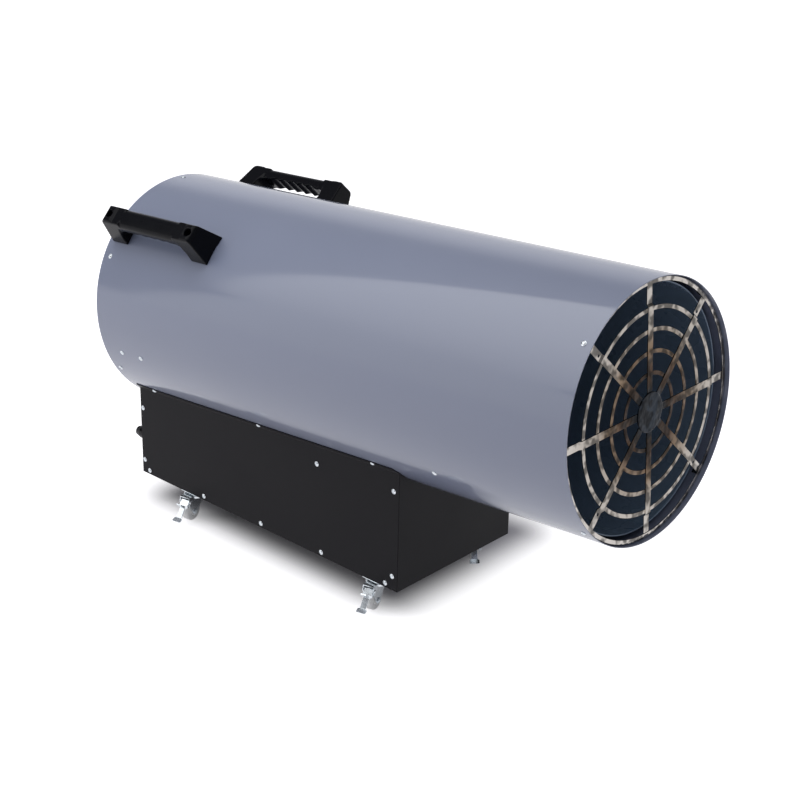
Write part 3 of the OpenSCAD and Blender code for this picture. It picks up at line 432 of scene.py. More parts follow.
    def combine(self, how: Blend, *tools: "Piece") -> "Piece":
        """Combines other pieces with this one and removes them.

        Args:
            how: How they are combined.
            *tools: The other pieces.

        Returns:
            This piece.
        """
        for tool in tools:
            self.modify("BOOLEAN", operation=how.value, solver="EXACT", object=tool.obj)
            bpy.data.objects.remove(tool.obj)
        return self

    def cut(self, *tools: "Piece") -> "Piece":
        """Cuts other pieces out of this one and removes them.

        Args:
            *tools: The other pieces.

        Returns:
            This piece.
        """
        return self.combine(Blend.CUT, *tools)

    def mould(self, voxel: float, rounds: int) -> "Piece":
        """Softens every edge of the piece as a mould does.

        Args:
            voxel: The size of the even mesh that it gets.
            rounds: How often the mesh is evened out.

        Returns:
            This piece.
        """
        self.modify("REMESH", mode="VOXEL", voxel_size=voxel * MM, use_smooth_shade=True)
        return self.modify("SMOOTH", factor=0.5, iterations=rounds)

    def join(self, others: Iterable["Piece"]) -> "Piece":
        """Joins other pieces to this one without welding them.

        Args:
            others: The pieces to join.

        Returns:
            This piece.
        """
        self._activate()
        for other in others:
            other.obj.select_set(True)
        bpy.ops.object.join()
        return self

    def copy(self, name: str, place: Matrix) -> "Piece":
        """Copies the piece with a mesh of its own.

        Args:
            name: The copy's name.
            place: A matrix in metres that moves the copy.

        Returns:
            The copy.
        """
        obj = self.obj.copy()
        obj.data = self.obj.data.copy()
        bpy.context.scene.collection.objects.link(obj)
        return Piece(obj, name).move(place)

    def spread(self, places: Iterable[Matrix]) -> "Piece":
        """Copies the piece to several places as one piece and drops the first.

        Args:
            places: The matrices of the copies.

        Returns:
            This piece, with all the copies in it.
        """
        copies = [self.copy(f"{self.obj.name}_c", place) for place in places]
        name = self.obj.name
        bpy.data.objects.remove(self.obj)
        self.obj = copies[0].obj
        self.obj.name = name
        if len(copies) > 1:
            self.join(copies[1:])
        return self

    def smooth(self, under: float = 35, weigh: bool = True) -> "Piece":
        """Shades the piece smooth, apart from its sharp edges.

        Args:
            under: Edges under this angle are smooth, in degrees.
            weigh: Whether large faces set the normals, which keeps them flat.

        Returns:
            This piece.
        """
        self._activate()
        bpy.ops.object.shade_smooth_by_angle(angle=math.radians(under))
        if weigh:
            self.modify("WEIGHTED_NORMAL", keep_sharp=True, weight=FACE_WEIGHT)
        return self

    def dress(self, finish: "Finish", body: str, slot: str, *nodes: str) -> "Piece":
        """Gives the piece its material and body, and hides the CAD nodes that it stands for.

        Args:
            finish: The finish.
            body: The CAD body that it rides on.
            slot: Not used.
            *nodes: The CAD nodes that it stands for.

        Returns:
            This piece.
        """
        self.obj.data.materials.clear()
        self.obj.data.materials.append(finish.material)
        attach(self.obj, body)
        if nodes:
            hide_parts(*nodes)
        log.info("piece %s: %d faces, rides on %s", self.obj.name, len(self.obj.data.polygons), body)
        return self


def linear(hex_colour: str) -> tuple[float, float, float, float]:
    """Turns an sRGB hex colour to linear.

    Args:
        hex_colour: Such as "#80859A".

    Returns:
        Linear red, green, blue and alpha.
    """
    parts = [int(hex_colour[i:i + 2], 16) / 255 for i in (1, 3, 5)]
    low = [p / 12.92 if p <= 0.04045 else ((p + 0.055) / 1.055) ** 2.4 for p in parts]
    return (low[0], low[1], low[2], 1.0)


def add_node(tree: bpy.types.NodeTree, kind: str, links: dict[str, object] | None = None,
             **settings: object) -> bpy.types.Node:
    """Adds a shader node with its settings and links.

    Args:
        tree: The node tree.
        kind: The node's type, without the ShaderNode that every type begins with.
        links: Input name or number to a value or to the output socket that feeds it.
        **settings: The node's own settings.

    Returns:
        The node.
    """
    node = tree.nodes.new(f"ShaderNode{kind}")
    for key, value in settings.items():
        setattr(node, key, value)
    for key, value in (links or {}).items():
        socket = node.inputs[int(key)] if key.isdigit() else node.inputs[key]
        if isinstance(value, bpy.types.NodeSocket):
            tree.links.new(value, socket)
        else:
            socket.default_value = value
    return node


def empty_tree(made: bpy.types.Material | bpy.types.World) -> bpy.types.NodeTree:
    """Gives a new material or world an empty node tree.

    Args:
        made: The material or world.

    Returns:
        Its node tree.
    """
    made.use_nodes = True
    made.node_tree.nodes.clear()
    return made.node_tree


def ramp(tree: bpy.types.NodeTree, fac: bpy.types.NodeSocket,
         stops: Sequence[tuple[float, str]]) -> bpy.types.Node:
    """Adds a colour ramp.

    Args:
        tree: The material's node tree.
        fac: What drives the ramp.
        stops: Places from 0 to 1, with their hex colours.

    Returns:
        The ramp node.
    """
    node = add_node(tree, "ValToRGB", {"Fac": fac})
    bar = node.color_ramp.elements
    while len(bar) < len(stops):
        bar.new(0.5)
    for element, (place, colour) in zip(bar, stops):
        element.position = place
        element.color = linear(colour)
    return node


# Roughness of the noise behind every mottling
MOTTLE_ROUGHNESS = 0.55
# Part of that noise over which a finish goes from its glossiest to its dullest
GLOSS_SPAN = (0.3, 0.7)
# Depth of a grain's bump as a share of its size
GRAIN_DEPTH = 0.25


@dataclass(frozen=True)
class Finish:
    """A procedural finish: base colour with slight mottling, grain in the gloss and a fine bump.

    Attributes:
        name: The material's name.
        colour: Base colour, sRGB hex.
        shade: The colour that the mottling tends to, sRGB hex.
        mottle_mm: Size of the mottling.
        metallic: Metallic share.
        rough: The two ends of the roughness.
        grain_mm: Size of the surface grain.
        bump: Strength of the grain's bump.
        coat: Weight of a clear glossy coat.
        coat_rough: Roughness of the coat.
        stretch: Stretch of the grain along X, for brushed or drawn metal.
        specular: Level of the reflection of a coating or a polymer.
    """

    name: str
    colour: str
    shade: str
    mottle_mm: float = 60
    metallic: float = 0
    rough: Flat = (0.35, 0.45)
    grain_mm: float = 0.8
    bump: float = 0.05
    coat: float = 0
    coat_rough: float = 0.05
    stretch: float = 1
    specular: float = 0.5

    @property
    def material(self) -> bpy.types.Material:
        """The finish's material, made once."""
        made = bpy.data.materials.get(self.name)
        if made is None:
            made = bpy.data.materials.new(self.name)
            self.build(empty_tree(made))
        return made

    def build(self, tree: bpy.types.NodeTree) -> None:
        """Builds the node tree.

        Args:
            tree: The material's empty node tree.
        """
        where = add_node(tree, "TexCoord").outputs["Object"]
        shader = self.shader(tree, where)
        add_node(tree, "OutputMaterial", {"Surface": shader.outputs["BSDF"]})

    def shader(self, tree: bpy.types.NodeTree, where: bpy.types.NodeSocket) -> bpy.types.Node:
        """Adds the shader with its colour, gloss and bump.

        Args:
            tree: The material's node tree.
            where: Object coordinates, in metres.

        Returns:
            The shader node.
        """
        mottle = add_node(tree, "TexNoise", {
            "Vector": where, "Scale": 1 / (self.mottle_mm * MM), "Detail": 3.0,
            "Roughness": MOTTLE_ROUGHNESS})
        colour = add_node(tree, "Mix", {
            "0": mottle.outputs["Fac"], "6": linear(self.colour), "7": linear(self.shade)},
            data_type="RGBA")
        drawn = add_node(tree, "Mapping", {"Vector": where, "Scale": (1 / self.stretch, 1, 1)})
        grain = add_node(tree, "TexNoise", {
            "Vector": drawn.outputs["Vector"], "Scale": 1 / (self.grain_mm * MM), "Detail": 2.0})
        gloss = add_node(tree, "MapRange", {
            "Value": mottle.outputs["Fac"], "From Min": GLOSS_SPAN[0], "From Max": GLOSS_SPAN[1],
            "To Min": self.rough[0], "To Max": self.rough[1]})
        bump = add_node(tree, "Bump", {
            "Height": grain.outputs["Fac"], "Strength": self.bump,
            "Distance": self.grain_mm * MM * GRAIN_DEPTH})
        return add_node(tree, "BsdfPrincipled", {
            "Base Color": colour.outputs[2], "Metallic": self.metallic,
            "Roughness": gloss.outputs["Result"], "Specular IOR Level": self.specular,
            "Coat Weight": self.coat, "Coat Roughness": self.coat_rough,
            "Normal": bump.outputs["Normal"]})


@dataclass(frozen=True)
class HeatTint(Finish):
    """Mirror-bright stainless strip that the flame has tinted: grey hub, brown, straw, bright rim, with
    painted dark reflections in streaks along it.

    Attributes:
        axis_z: Height of the body tube's axis over the floor at its middle, in millimetres.
        tilt: The tube's tilt, in degrees.
        reach: Radius at which the last stop of the tint lies, in millimetres.
        drift: How far the tint's rings wander, as a share of the reach.
        streak_mm: Length of the painted dark reflections and of the bright bits between them.
        streak_span: Where the noise turns from painted dark reflection to bright strip.
        soot: Share of its colour that a painted dark reflection keeps.
        tints: Places of the tint from the middle outwards, with their colours.
    """

    axis_z: float = 428
    tilt: float = 4.3
    reach: float = 215
    drift: float = 0.07
    streak_mm: float = 15
    streak_span: Flat = (0.4, 0.62)
    soot: float = 0.25
    tints: tuple[tuple[float, str], ...] = ()

    def build(self, tree: bpy.types.NodeTree) -> None:
        """Builds the node tree.

        Args:
            tree: The material's empty node tree.
        """
        where = add_node(tree, "TexCoord").outputs["Object"]
        moved = add_node(tree, "VectorMath", {"0": where, "1": (0, 0, -self.axis_z * MM)},
                         operation="ADD")
        turned = add_node(tree, "VectorRotate", {
            "Vector": moved.outputs["Vector"], "Angle": math.radians(self.tilt)},
            rotation_type="Y_AXIS")
        flat = add_node(tree, "VectorMath", {"0": turned.outputs["Vector"], "1": (0, 1, 1)},
                        operation="MULTIPLY")
        radius = add_node(tree, "VectorMath", {"0": flat.outputs["Vector"]}, operation="LENGTH")
        cloud = add_node(tree, "TexNoise", {
            "Vector": where, "Scale": 1 / (self.mottle_mm * MM), "Detail": 3.0})
        drift = add_node(tree, "MapRange", {
            "Value": cloud.outputs["Fac"], "To Min": -self.drift, "To Max": self.drift})
        share = add_node(tree, "Math", {"0": radius.outputs["Value"], "1": self.reach * MM},
                         operation="DIVIDE")
        place = add_node(tree, "Math", {"0": share.outputs["Value"], "1": drift.outputs["Result"]},
                         operation="ADD")
        tint = ramp(tree, place.outputs["Value"], self.tints)
        # Painted reflection: streaks of noise darken the tint where the mirror strip would reflect dark
        # parts of the room
        streak = add_node(tree, "TexNoise", {
            "Vector": where, "Scale": 1 / (self.streak_mm * MM), "Detail": 1.0})
        kept = add_node(tree, "MapRange", {
            "Value": streak.outputs["Fac"], "From Min": self.streak_span[0],
            "From Max": self.streak_span[1], "To Min": self.soot, "To Max": 1.0},
            interpolation_type="SMOOTHSTEP")
        tint_with_painted_reflections = add_node(tree, "VectorMath", {
            "0": tint.outputs["Color"], "Scale": kept.outputs["Result"]}, operation="SCALE")
        shader = self.shader(tree, where)
        tree.links.new(tint_with_painted_reflections.outputs[0], shader.inputs["Base Color"])
        add_node(tree, "OutputMaterial", {"Surface": shader.outputs["BSDF"]})


# Gloss powder coat, sprayed and baked: an even blue-grey with faint orange peel under a clear skin
TUBE_PAINT = Finish("powder_coat_gloss_blue_grey", "#7F879F", "#848CA4", mottle_mm=220, rough=(0.42, 0.5),
                    grain_mm=3.2, bump=0.035, coat=1.0, coat_rough=0.08)
# Satin powder coat on folded sheet: near black, a little violet, with a fine pebbled grain
BASE_PAINT = Finish("powder_coat_satin_black", "#121115", "#16151A", mottle_mm=140, rough=(0.38, 0.46),
                    grain_mm=0.9, bump=0.09, specular=0.12)
# Bright-annealed stainless strip: mirror finish, tinted by heat towards the hub, with painted dark
# reflections in streaks along it
GRILLE_STEEL = HeatTint("stainless_strip_heat_tinted", "#B9B2A8", "#A39B90", mottle_mm=26, metallic=1,
                        rough=(0.05, 0.1), grain_mm=24, bump=0.4, tints=(
                            (0.0, "#2C333C"), (0.16, "#242930"), (0.2, "#33281F"), (0.36, "#4E3C2F"),
                            (0.5, "#86735F"), (0.66, "#B3ABA1"), (1.0, "#D0CBC4")))
# Heat-blued liner sheet: hard, glossy blue-black oxide over steel
LINER_STEEL = Finish("steel_sheet_heat_blued", "#70849A", "#7C90A6", mottle_mm=90, metallic=0.1,
                     rough=(0.24, 0.32), grain_mm=9, bump=0.03, coat=0.5, coat_rough=0.12)
# Sheet steel dulled by the flame: brown-grey oxide, dry sheen
BURNT_STEEL = Finish("steel_sheet_flame_dulled", "#5A5148", "#3C3A3C", mottle_mm=24, metallic=0.85,
                     rough=(0.36, 0.55), grain_mm=2, bump=0.06)
# Bright zinc plate: cold silver with a faint blue passivation
ZINC = Finish("zinc_plate_bright", "#F0F3F5", "#DCE5EC", mottle_mm=9, metallic=1, rough=(0.2, 0.34),
              grain_mm=1.2, bump=0.04)
# Galvanised sheet of inner brackets: soft spangle, duller than the plated screws
GALVANISED = Finish("sheet_galvanised", "#A9AEB2", "#989EA5", mottle_mm=14, metallic=1, rough=(0.36, 0.5),
                    grain_mm=2.4, bump=0.03)
# Drawn wire, zinc plated and passivated
WIRE = Finish("wire_zinc_plated", "#B4B8BC", "#9EA5AD", mottle_mm=40, metallic=1, rough=(0.28, 0.38),
              grain_mm=1.5, bump=0.03)
# Moulded polymer with a spark-eroded grain: deep black, soft highlights on its edges
BLACK_PLASTIC = Finish("polymer_moulded_black", "#090A0F", "#0D0E13", mottle_mm=70, rough=(0.2, 0.27),
                       grain_mm=0.7, bump=0.1, specular=0.1)
# Gloss moulded polymer of push buttons
RED_PLASTIC = Finish("polymer_moulded_red", "#A51410", "#96100D", mottle_mm=20, rough=(0.2, 0.28),
                     grain_mm=1, bump=0.02, coat=0.3)
# Cast nylon wheel: milky white, satin
NYLON = Finish("nylon_white", "#FAFAF8", "#F2F2F0", mottle_mm=18, rough=(0.38, 0.46), grain_mm=1.2,
               bump=0.04)
# Turned brass with fine tool marks
BRASS = Finish("brass_turned", "#C9A45A", "#B68F48", mottle_mm=12, metallic=1, rough=(0.22, 0.32),
               grain_mm=0.6, bump=0.03)
# Drawn copper pipe, warmed and slightly dulled
COPPER = Finish("copper_drawn", "#B87556", "#9A5B40", mottle_mm=30, metallic=1, rough=(0.24, 0.36),
                grain_mm=1.4, bump=0.03)
# Die-cast aluminium with its cast skin
CAST_ALUMINIUM = Finish("aluminium_die_cast", "#A7A9AC", "#999CA0", mottle_mm=16, metallic=1,
                        rough=(0.42, 0.56), grain_mm=1.1, bump=0.1)
# Pressed aluminium fan, matt from rolling
PRESSED_ALUMINIUM = Finish("aluminium_pressed", "#B9BBBE", "#A9ACB0", mottle_mm=50, metallic=1,
                           rough=(0.34, 0.44), grain_mm=1.6, bump=0.03, stretch=6)
# Enamel on the cast motor housing
MOTOR_ENAMEL = Finish("enamel_dark_grey", "#26282B", "#2D2F33", mottle_mm=40, rough=(0.4, 0.5), grain_mm=1,
                      bump=0.08)
# Glazed electrode ceramic
CERAMIC = Finish("ceramic_glazed", "#E6E0D2", "#DAD3C4", mottle_mm=10, rough=(0.12, 0.2), grain_mm=2,
                 bump=0.02)


@dataclass
class HeaterFrame:
    """The heater's main sizes, in millimetres, shared by the sub-assemblies.

    Attributes:
        tube_radius: Outer radius of the body tube.
        tube_length: Its length.
        tube_wall: Its wall.
        tube_tilt: How far it tilts up towards the outlet, in degrees.
        tube_z: Height of its axis over the floor at its middle.
        base_rear: Place of the box's rear end along the heater.
        base_front: Place of its outlet end.
        base_width: Its width over the side panels.
        caster_height: Height of its underside over the floor.
        sheet: Thickness of its sheet steel.
        tube_gap: Gap between the tube and what lies against it.
        panel_roll: Width of the side panels' rolled edge.
        outlet_screw_inset: From the tube's outlet edge to the grille's screws.
        rear_screw_angles: Places of the rear guard's screws round the tube.
    """

    tube_radius: float = 215
    tube_length: float = 1080
    tube_wall: float = 1.2
    tube_tilt: float = 4.3
    tube_z: float = 428
    base_rear: float = -505
    base_front: float = 155
    base_width: float = 298
    caster_height: float = 57
    sheet: float = 1.2
    tube_gap: float = 0.3
    panel_roll: float = 13
    outlet_screw_inset: float = 16.5
    rear_screw_angles: tuple[float, ...] = (0, 60, 120, 240, 300)

    @property
    def tube(self) -> Matrix:
        """The body tube's own frame, in metres: X along it, Z away from the base."""
        return (Matrix.Translation((0, 0, self.tube_z * MM))
                @ Matrix.Rotation(-math.radians(self.tube_tilt), 4, "Y"))

    def round_tube(self, along: float, angle: float, radius: float = 0) -> Matrix:
        """A place on the body tube whose Z points out of it.

        Args:
            along: Distance from the tube's middle.
            angle: Degrees round from the top, towards +Y.
            radius: Distance from the axis.

        Returns:
            The matrix, in metres.
        """
        return (self.tube @ Matrix.Rotation(-math.radians(angle), 4, "X")
                @ Matrix.Translation((along * MM, 0, radius * MM)))

    def panel_top(self, x: float) -> float:
        """Height of the side panels' top edge.

        Args:
            x: Place along the heater.

        Returns:
            The height over the floor.
        """
        half = self.base_width / 2
        drop = math.sqrt(self.tube_radius ** 2 - half ** 2) / math.cos(math.radians(self.tube_tilt))
        return self.tube_z + x * math.tan(math.radians(self.tube_tilt)) - drop


def arc(middle: Flat, radius: float, start: float, end: float, steps: int = 6) -> list[Flat]:
    """Points along an arc.

    Args:
        middle: The arc's middle.
        radius: Its radius.
        start: Its first angle, in degrees.
        end: Its last angle, in degrees.
        steps: How many steps it has.

    Returns:
        The points.
    """
    turns = [math.radians(start + (end - start) * i / steps) for i in range(steps + 1)]
    return [(middle[0] + radius * math.cos(t), middle[1] + radius * math.sin(t)) for t in turns]


@dataclass
class BodyTube:
    """The rolled outer tube, with its cut edges rounded.

    Attributes:
        heater: The heater's main sizes.
        sides: How many sides its mesh has round the tube.
        edge: Rounding of its cut edges.
    """

    heater: HeaterFrame
    sides: int = 256
    edge: float = 0.35

    def build(self) -> None:
        """Models and dresses the tube."""
        h = self.heater
        tube = Piece.cylinder("body_tube", h.tube_radius, h.tube_length, axis=Axis.X,
                              sides=self.sides, open_ends=True)
        tube.modify("SOLIDIFY", thickness=h.tube_wall * MM, offset=-1)
        tube.round_edges(self.edge, over=50)
        tube.smooth(30).move(h.tube)
        tube.dress(TUBE_PAINT, FIXED, "tube_paint", "outer_tube")


@dataclass
class OutletGrille:
    """Rings, hub disc and joggled spokes of bright strip in the outlet.

    Attributes:
        heater: The heater's main sizes.
        inset: Depth of the rim ring's face behind the tube's edge.
        step: How far the spokes' middle stands in front of their ends.
        strip: Thickness of the strip.
        weld: How far the strips sink into each other.
        seat: From the tube's wall to the rim ring, over the strip's thickness.
        proud: How much of that the spokes' tabs take up.
        ease: Rounding of the rings' edges.
        fold: Size of the small facets that round a spoke's folds.
        crease: Rounding of the spokes' edges.
        ring_width: Width of the rings' strip.
        spoke_width: Width of the spokes' strip.
        first_ring: Middle radius of the innermost ring.
        gap: From the outermost inner ring's middle to the rim ring.
        joggle: From that ring to the start of the spokes' step.
        rings: Number of inner rings.
        hub: Radius of the hub disc.
        spokes: Number of spokes.
        hole: Radius of the hole in a screwed spoke.
        hole_in: Distance of that hole from the spoke's end.
    """

    heater: HeaterFrame
    inset: float = 7
    step: float = 3
    strip: float = 1.5
    weld: float = 0.3
    seat: float = 0.6
    proud: float = 0.1
    ease: float = 0.45
    fold: float = 0.4
    crease: float = 0.35
    ring_width: float = 7
    spoke_width: float = 13
    first_ring: float = 62
    gap: float = 35.4
    joggle: float = 2
    rings: int = 4
    hub: float = 33
    spokes: int = 8
    hole: float = 2.5
    hole_in: float = 33

    @property
    def rim(self) -> float:
        """Outer radius of the rim ring."""
        return self.heater.tube_radius - self.heater.tube_wall - self.strip - self.seat

    @property
    def last_ring(self) -> float:
        """Middle radius of the outermost inner ring."""
        return self.rim - 1.5 * self.ring_width - self.gap

    @property
    def end(self) -> float:
        """Front of the spokes' ends along the tube."""
        return self.heater.tube_length / 2 - self.inset - self.strip + self.weld

    def ring(self, name: str, inner: float, outer: float, back: float) -> Piece:
        """Turns one flat ring with rounded edges.

        Args:
            name: The piece's name.
            inner: Its inner radius.
            outer: Its outer radius.
            back: Place of its rear face along the tube.

        Returns:
            The ring.
        """
        e, front = self.ease, back + self.strip
        outline = [(inner + e, back), (outer - e, back), (outer, back + e), (outer, front - e),
                   (outer - e / 3, front - e / 3), (outer - e, front), (inner + e, front),
                   (inner + e / 3, front - e / 3), (inner, front - e), (inner, back + e),
                   (inner + e, back)]
        return Piece.lathe(name, outline, Axis.X, steps=180)

    def spoke(self, name: str, tab: bool) -> Piece:
        """Bends one spoke, with a tab along the tube's wall where it is screwed.

        Args:
            name: The piece's name.
            tab: Whether it has a tab.

        Returns:
            The spoke, pointing up.
        """
        t, f = self.strip, self.fold
        end, mid = self.end, self.end + self.step
        start = self.last_ring + self.ring_width / 2 + self.joggle
        bend = start + self.step
        line = [(mid, 0), (mid, start - 2.5 * f), (mid - f, start + f / 2), (end + f, bend - f),
                (end, bend + 2 * f)]
        if tab:
            wall = self.rim + t + self.proud
            back = self.heater.tube_length / 2 - self.heater.outlet_screw_inset - self.spoke_width / 2
            line += [(end, wall - 3.5 * f), (end - f, wall - f), (end - 3.5 * f, wall), (back, wall),
                     (back, wall - t), (end - t - f / 2, wall - t), (end - t, wall - t - f / 2)]
        else:
            wall = self.rim
            line += [(end, wall), (end - t, wall)]
        line += [(end - t, bend - t / 2 + 2 * f), (mid - t, start - t / 2 - 2 * f), (mid - t, 0)]
        made = Piece.plate(name, line, self.spoke_width, Axis.Y).round_edges(self.crease, over=40)
        if tab:
            spot = (end, 0, wall - self.hole_in)
            made.cut(Piece.cylinder("hole", self.hole, 10, spot, Axis.X, 32))
        return made

    def hub_disc(self) -> Piece:
        """Turns the hub disc, whose edge is rounded towards the front."""
        r, face = self.hub, self.end + self.step - self.weld + self.strip
        back = face - self.strip
        dish = [(0, back), (r - 0.5, back), (r, back + 0.4), (r - 0.2, face - 0.5), (r - 1, face - 0.1),
                (r - 2, face), (0, face)]
        return Piece.lathe("hub_disc", dish, Axis.X, steps=96)

    def build(self) -> None:
        """Models and dresses the grille."""
        front = self.heater.tube_length / 2 - self.inset
        behind = self.end + self.step - 2 * self.strip + self.weld
        half = self.ring_width / 2
        grille = self.ring("outlet_grille_strips", self.rim - self.ring_width, self.rim,
                           front - self.strip)
        parts = []
        for i in range(self.rings):
            r = self.first_ring + i * (self.last_ring - self.first_ring) / (self.rings - 1)
            parts.append(self.ring(f"ring_{i}", r - half, r + half, behind))
        parts.append(self.hub_disc())
        for i in range(self.spokes):
            spoke = self.spoke(f"spoke_{i}", i % 2 == 1)
            parts.append(spoke.move(Matrix.Rotation(-math.tau * i / self.spokes, 4, "X")))
        grille.join(parts).smooth(40).move(self.heater.tube)
        grille.dress(GRILLE_STEEL, FIXED, "stainless", "outlet_grille")


@dataclass
class SidePanel:
    """A side sheet of the base, its upper edge rolled outwards along the tube.

    Attributes:
        heater: The heater's main sizes.
        side: -1 for the near panel and 1 for the far one.
        name: The piece's name.
        fold: Radius of the fold under the rolled edge.
        chamfer: Size of the front corner that is cut away.
        chamfer_out: From the panel's outer face to the middle of the turned box that cuts it.
        chamfer_z: Height over the floor at which that cut begins.
    """

    heater: HeaterFrame
    side: int
    name: str
    fold: float = 4
    chamfer: float = 14
    chamfer_out: float = 18.9
    chamfer_z: float = 30

    def section(self) -> list[Flat]:
        """The middle line of the sheet across the tube, from the bottom up."""
        h = self.heater
        radius = h.tube_radius + h.tube_gap + h.sheet / 2
        y = h.base_width / 2 - h.sheet / 2
        corner = math.degrees(math.asin(y / radius))
        turn = 90 - corner
        run = self.fold * math.tan(math.radians(turn) / 2)
        low = -radius * math.cos(math.radians(corner)) - run
        line = [(y, -2 * h.tube_radius)]
        line += arc((y + self.fold, low), self.fold, 180, 180 - turn, 5)
        last = corner + math.degrees(h.panel_roll / radius)
        first = corner + math.degrees(run / radius)
        line += arc((0, 0), radius, first - 90, last - 90, 4)[1:]
        return [(self.side * a, b) for a, b in line]

    def build(self) -> None:
        """Models and dresses the panel."""
        h = self.heater
        middle = (h.base_front + h.base_rear) / 2
        length = h.base_front - h.base_rear
        high = 2 * h.tube_radius
        # The sheet is bent overlong, square to the tilted tube, and then trimmed upright to the box
        panel = Piece.folded(self.name, self.section(), 1.5 * high + length, h.sheet)
        panel.move(h.tube @ Matrix.Translation((middle * MM, 0, 0)))
        bound = Piece.box("bound", (length, high, high), (middle, 0, h.caster_height + high / 2))
        panel.combine(Blend.KEEP, bound)
        spot = (h.base_front, self.side * (h.base_width / 2 + self.chamfer_out),
                h.tube_z / 2 + self.chamfer_z)
        corner = Piece.box("corner", (self.chamfer * 2, self.chamfer * 2, h.tube_z))
        corner.move(Matrix.Translation(Vector(spot) * MM) @ Matrix.Rotation(math.radians(45), 4, "Z"))
        panel.cut(corner).round_edges(0.3, over=50).smooth(30)
        panel.dress(BASE_PAINT, FIXED, "base_paint", self.name.replace("_sheet", ""))


@dataclass
class Screws:
    """Washer-faced screws with a cross recess, modelled once and copied to their places.

    Attributes:
        name: The piece's name.
        places: Where they sit, with Z out of the sheet.
        node: The CAD node that they stand for.
        radius: Radius of a head.
        rise: Height of a head.
        sunk: How far a head's shank reaches into the sheet.
        spin: How far each one is turned on from the last, in radians.
    """

    name: str
    places: list[Matrix]
    node: str
    radius: float = 4.6
    rise: float = 2.6
    sunk: float = 0.6
    spin: float = 0.9

    def head(self) -> Piece:
        """Turns one head, facing +Z, and cuts its recess."""
        r, top = self.radius, self.rise
        lip, dome, shank = 0.16 * r, 0.83 * r, 0.6 * r
        outline = [(0, -self.sunk), (shank, -self.sunk), (shank, 0.02), (r - 0.2, 0.02), (r, 0.2),
                   (r, lip - 0.2), (r - 0.2, lip), (dome, lip + 0.1)]
        outline += [(dome * math.cos(a), lip + (top - lip) * math.sin(a))
                    for a in [math.radians(d) for d in (15, 30, 45, 60, 75)]]
        head = Piece.lathe(self.name, [*outline, (0, top)], Axis.Z, steps=36)
        narrow, wide, deep = 0.28 * r, 1.15 * r, 0.7 * top
        head.cut(Piece.box("slot_a", (narrow, wide, deep), (0, 0, top)),
                 Piece.box("slot_b", (wide, narrow, deep), (0, 0, top)))
        return head.smooth(40)

    def build(self) -> None:
        """Models, copies and dresses the screws."""
        spins = [place @ Matrix.Rotation(self.spin * i, 4, "Z") for i, place in enumerate(self.places)]
        self.head().spread(spins).dress(ZINC, FIXED, "zinc", self.node)


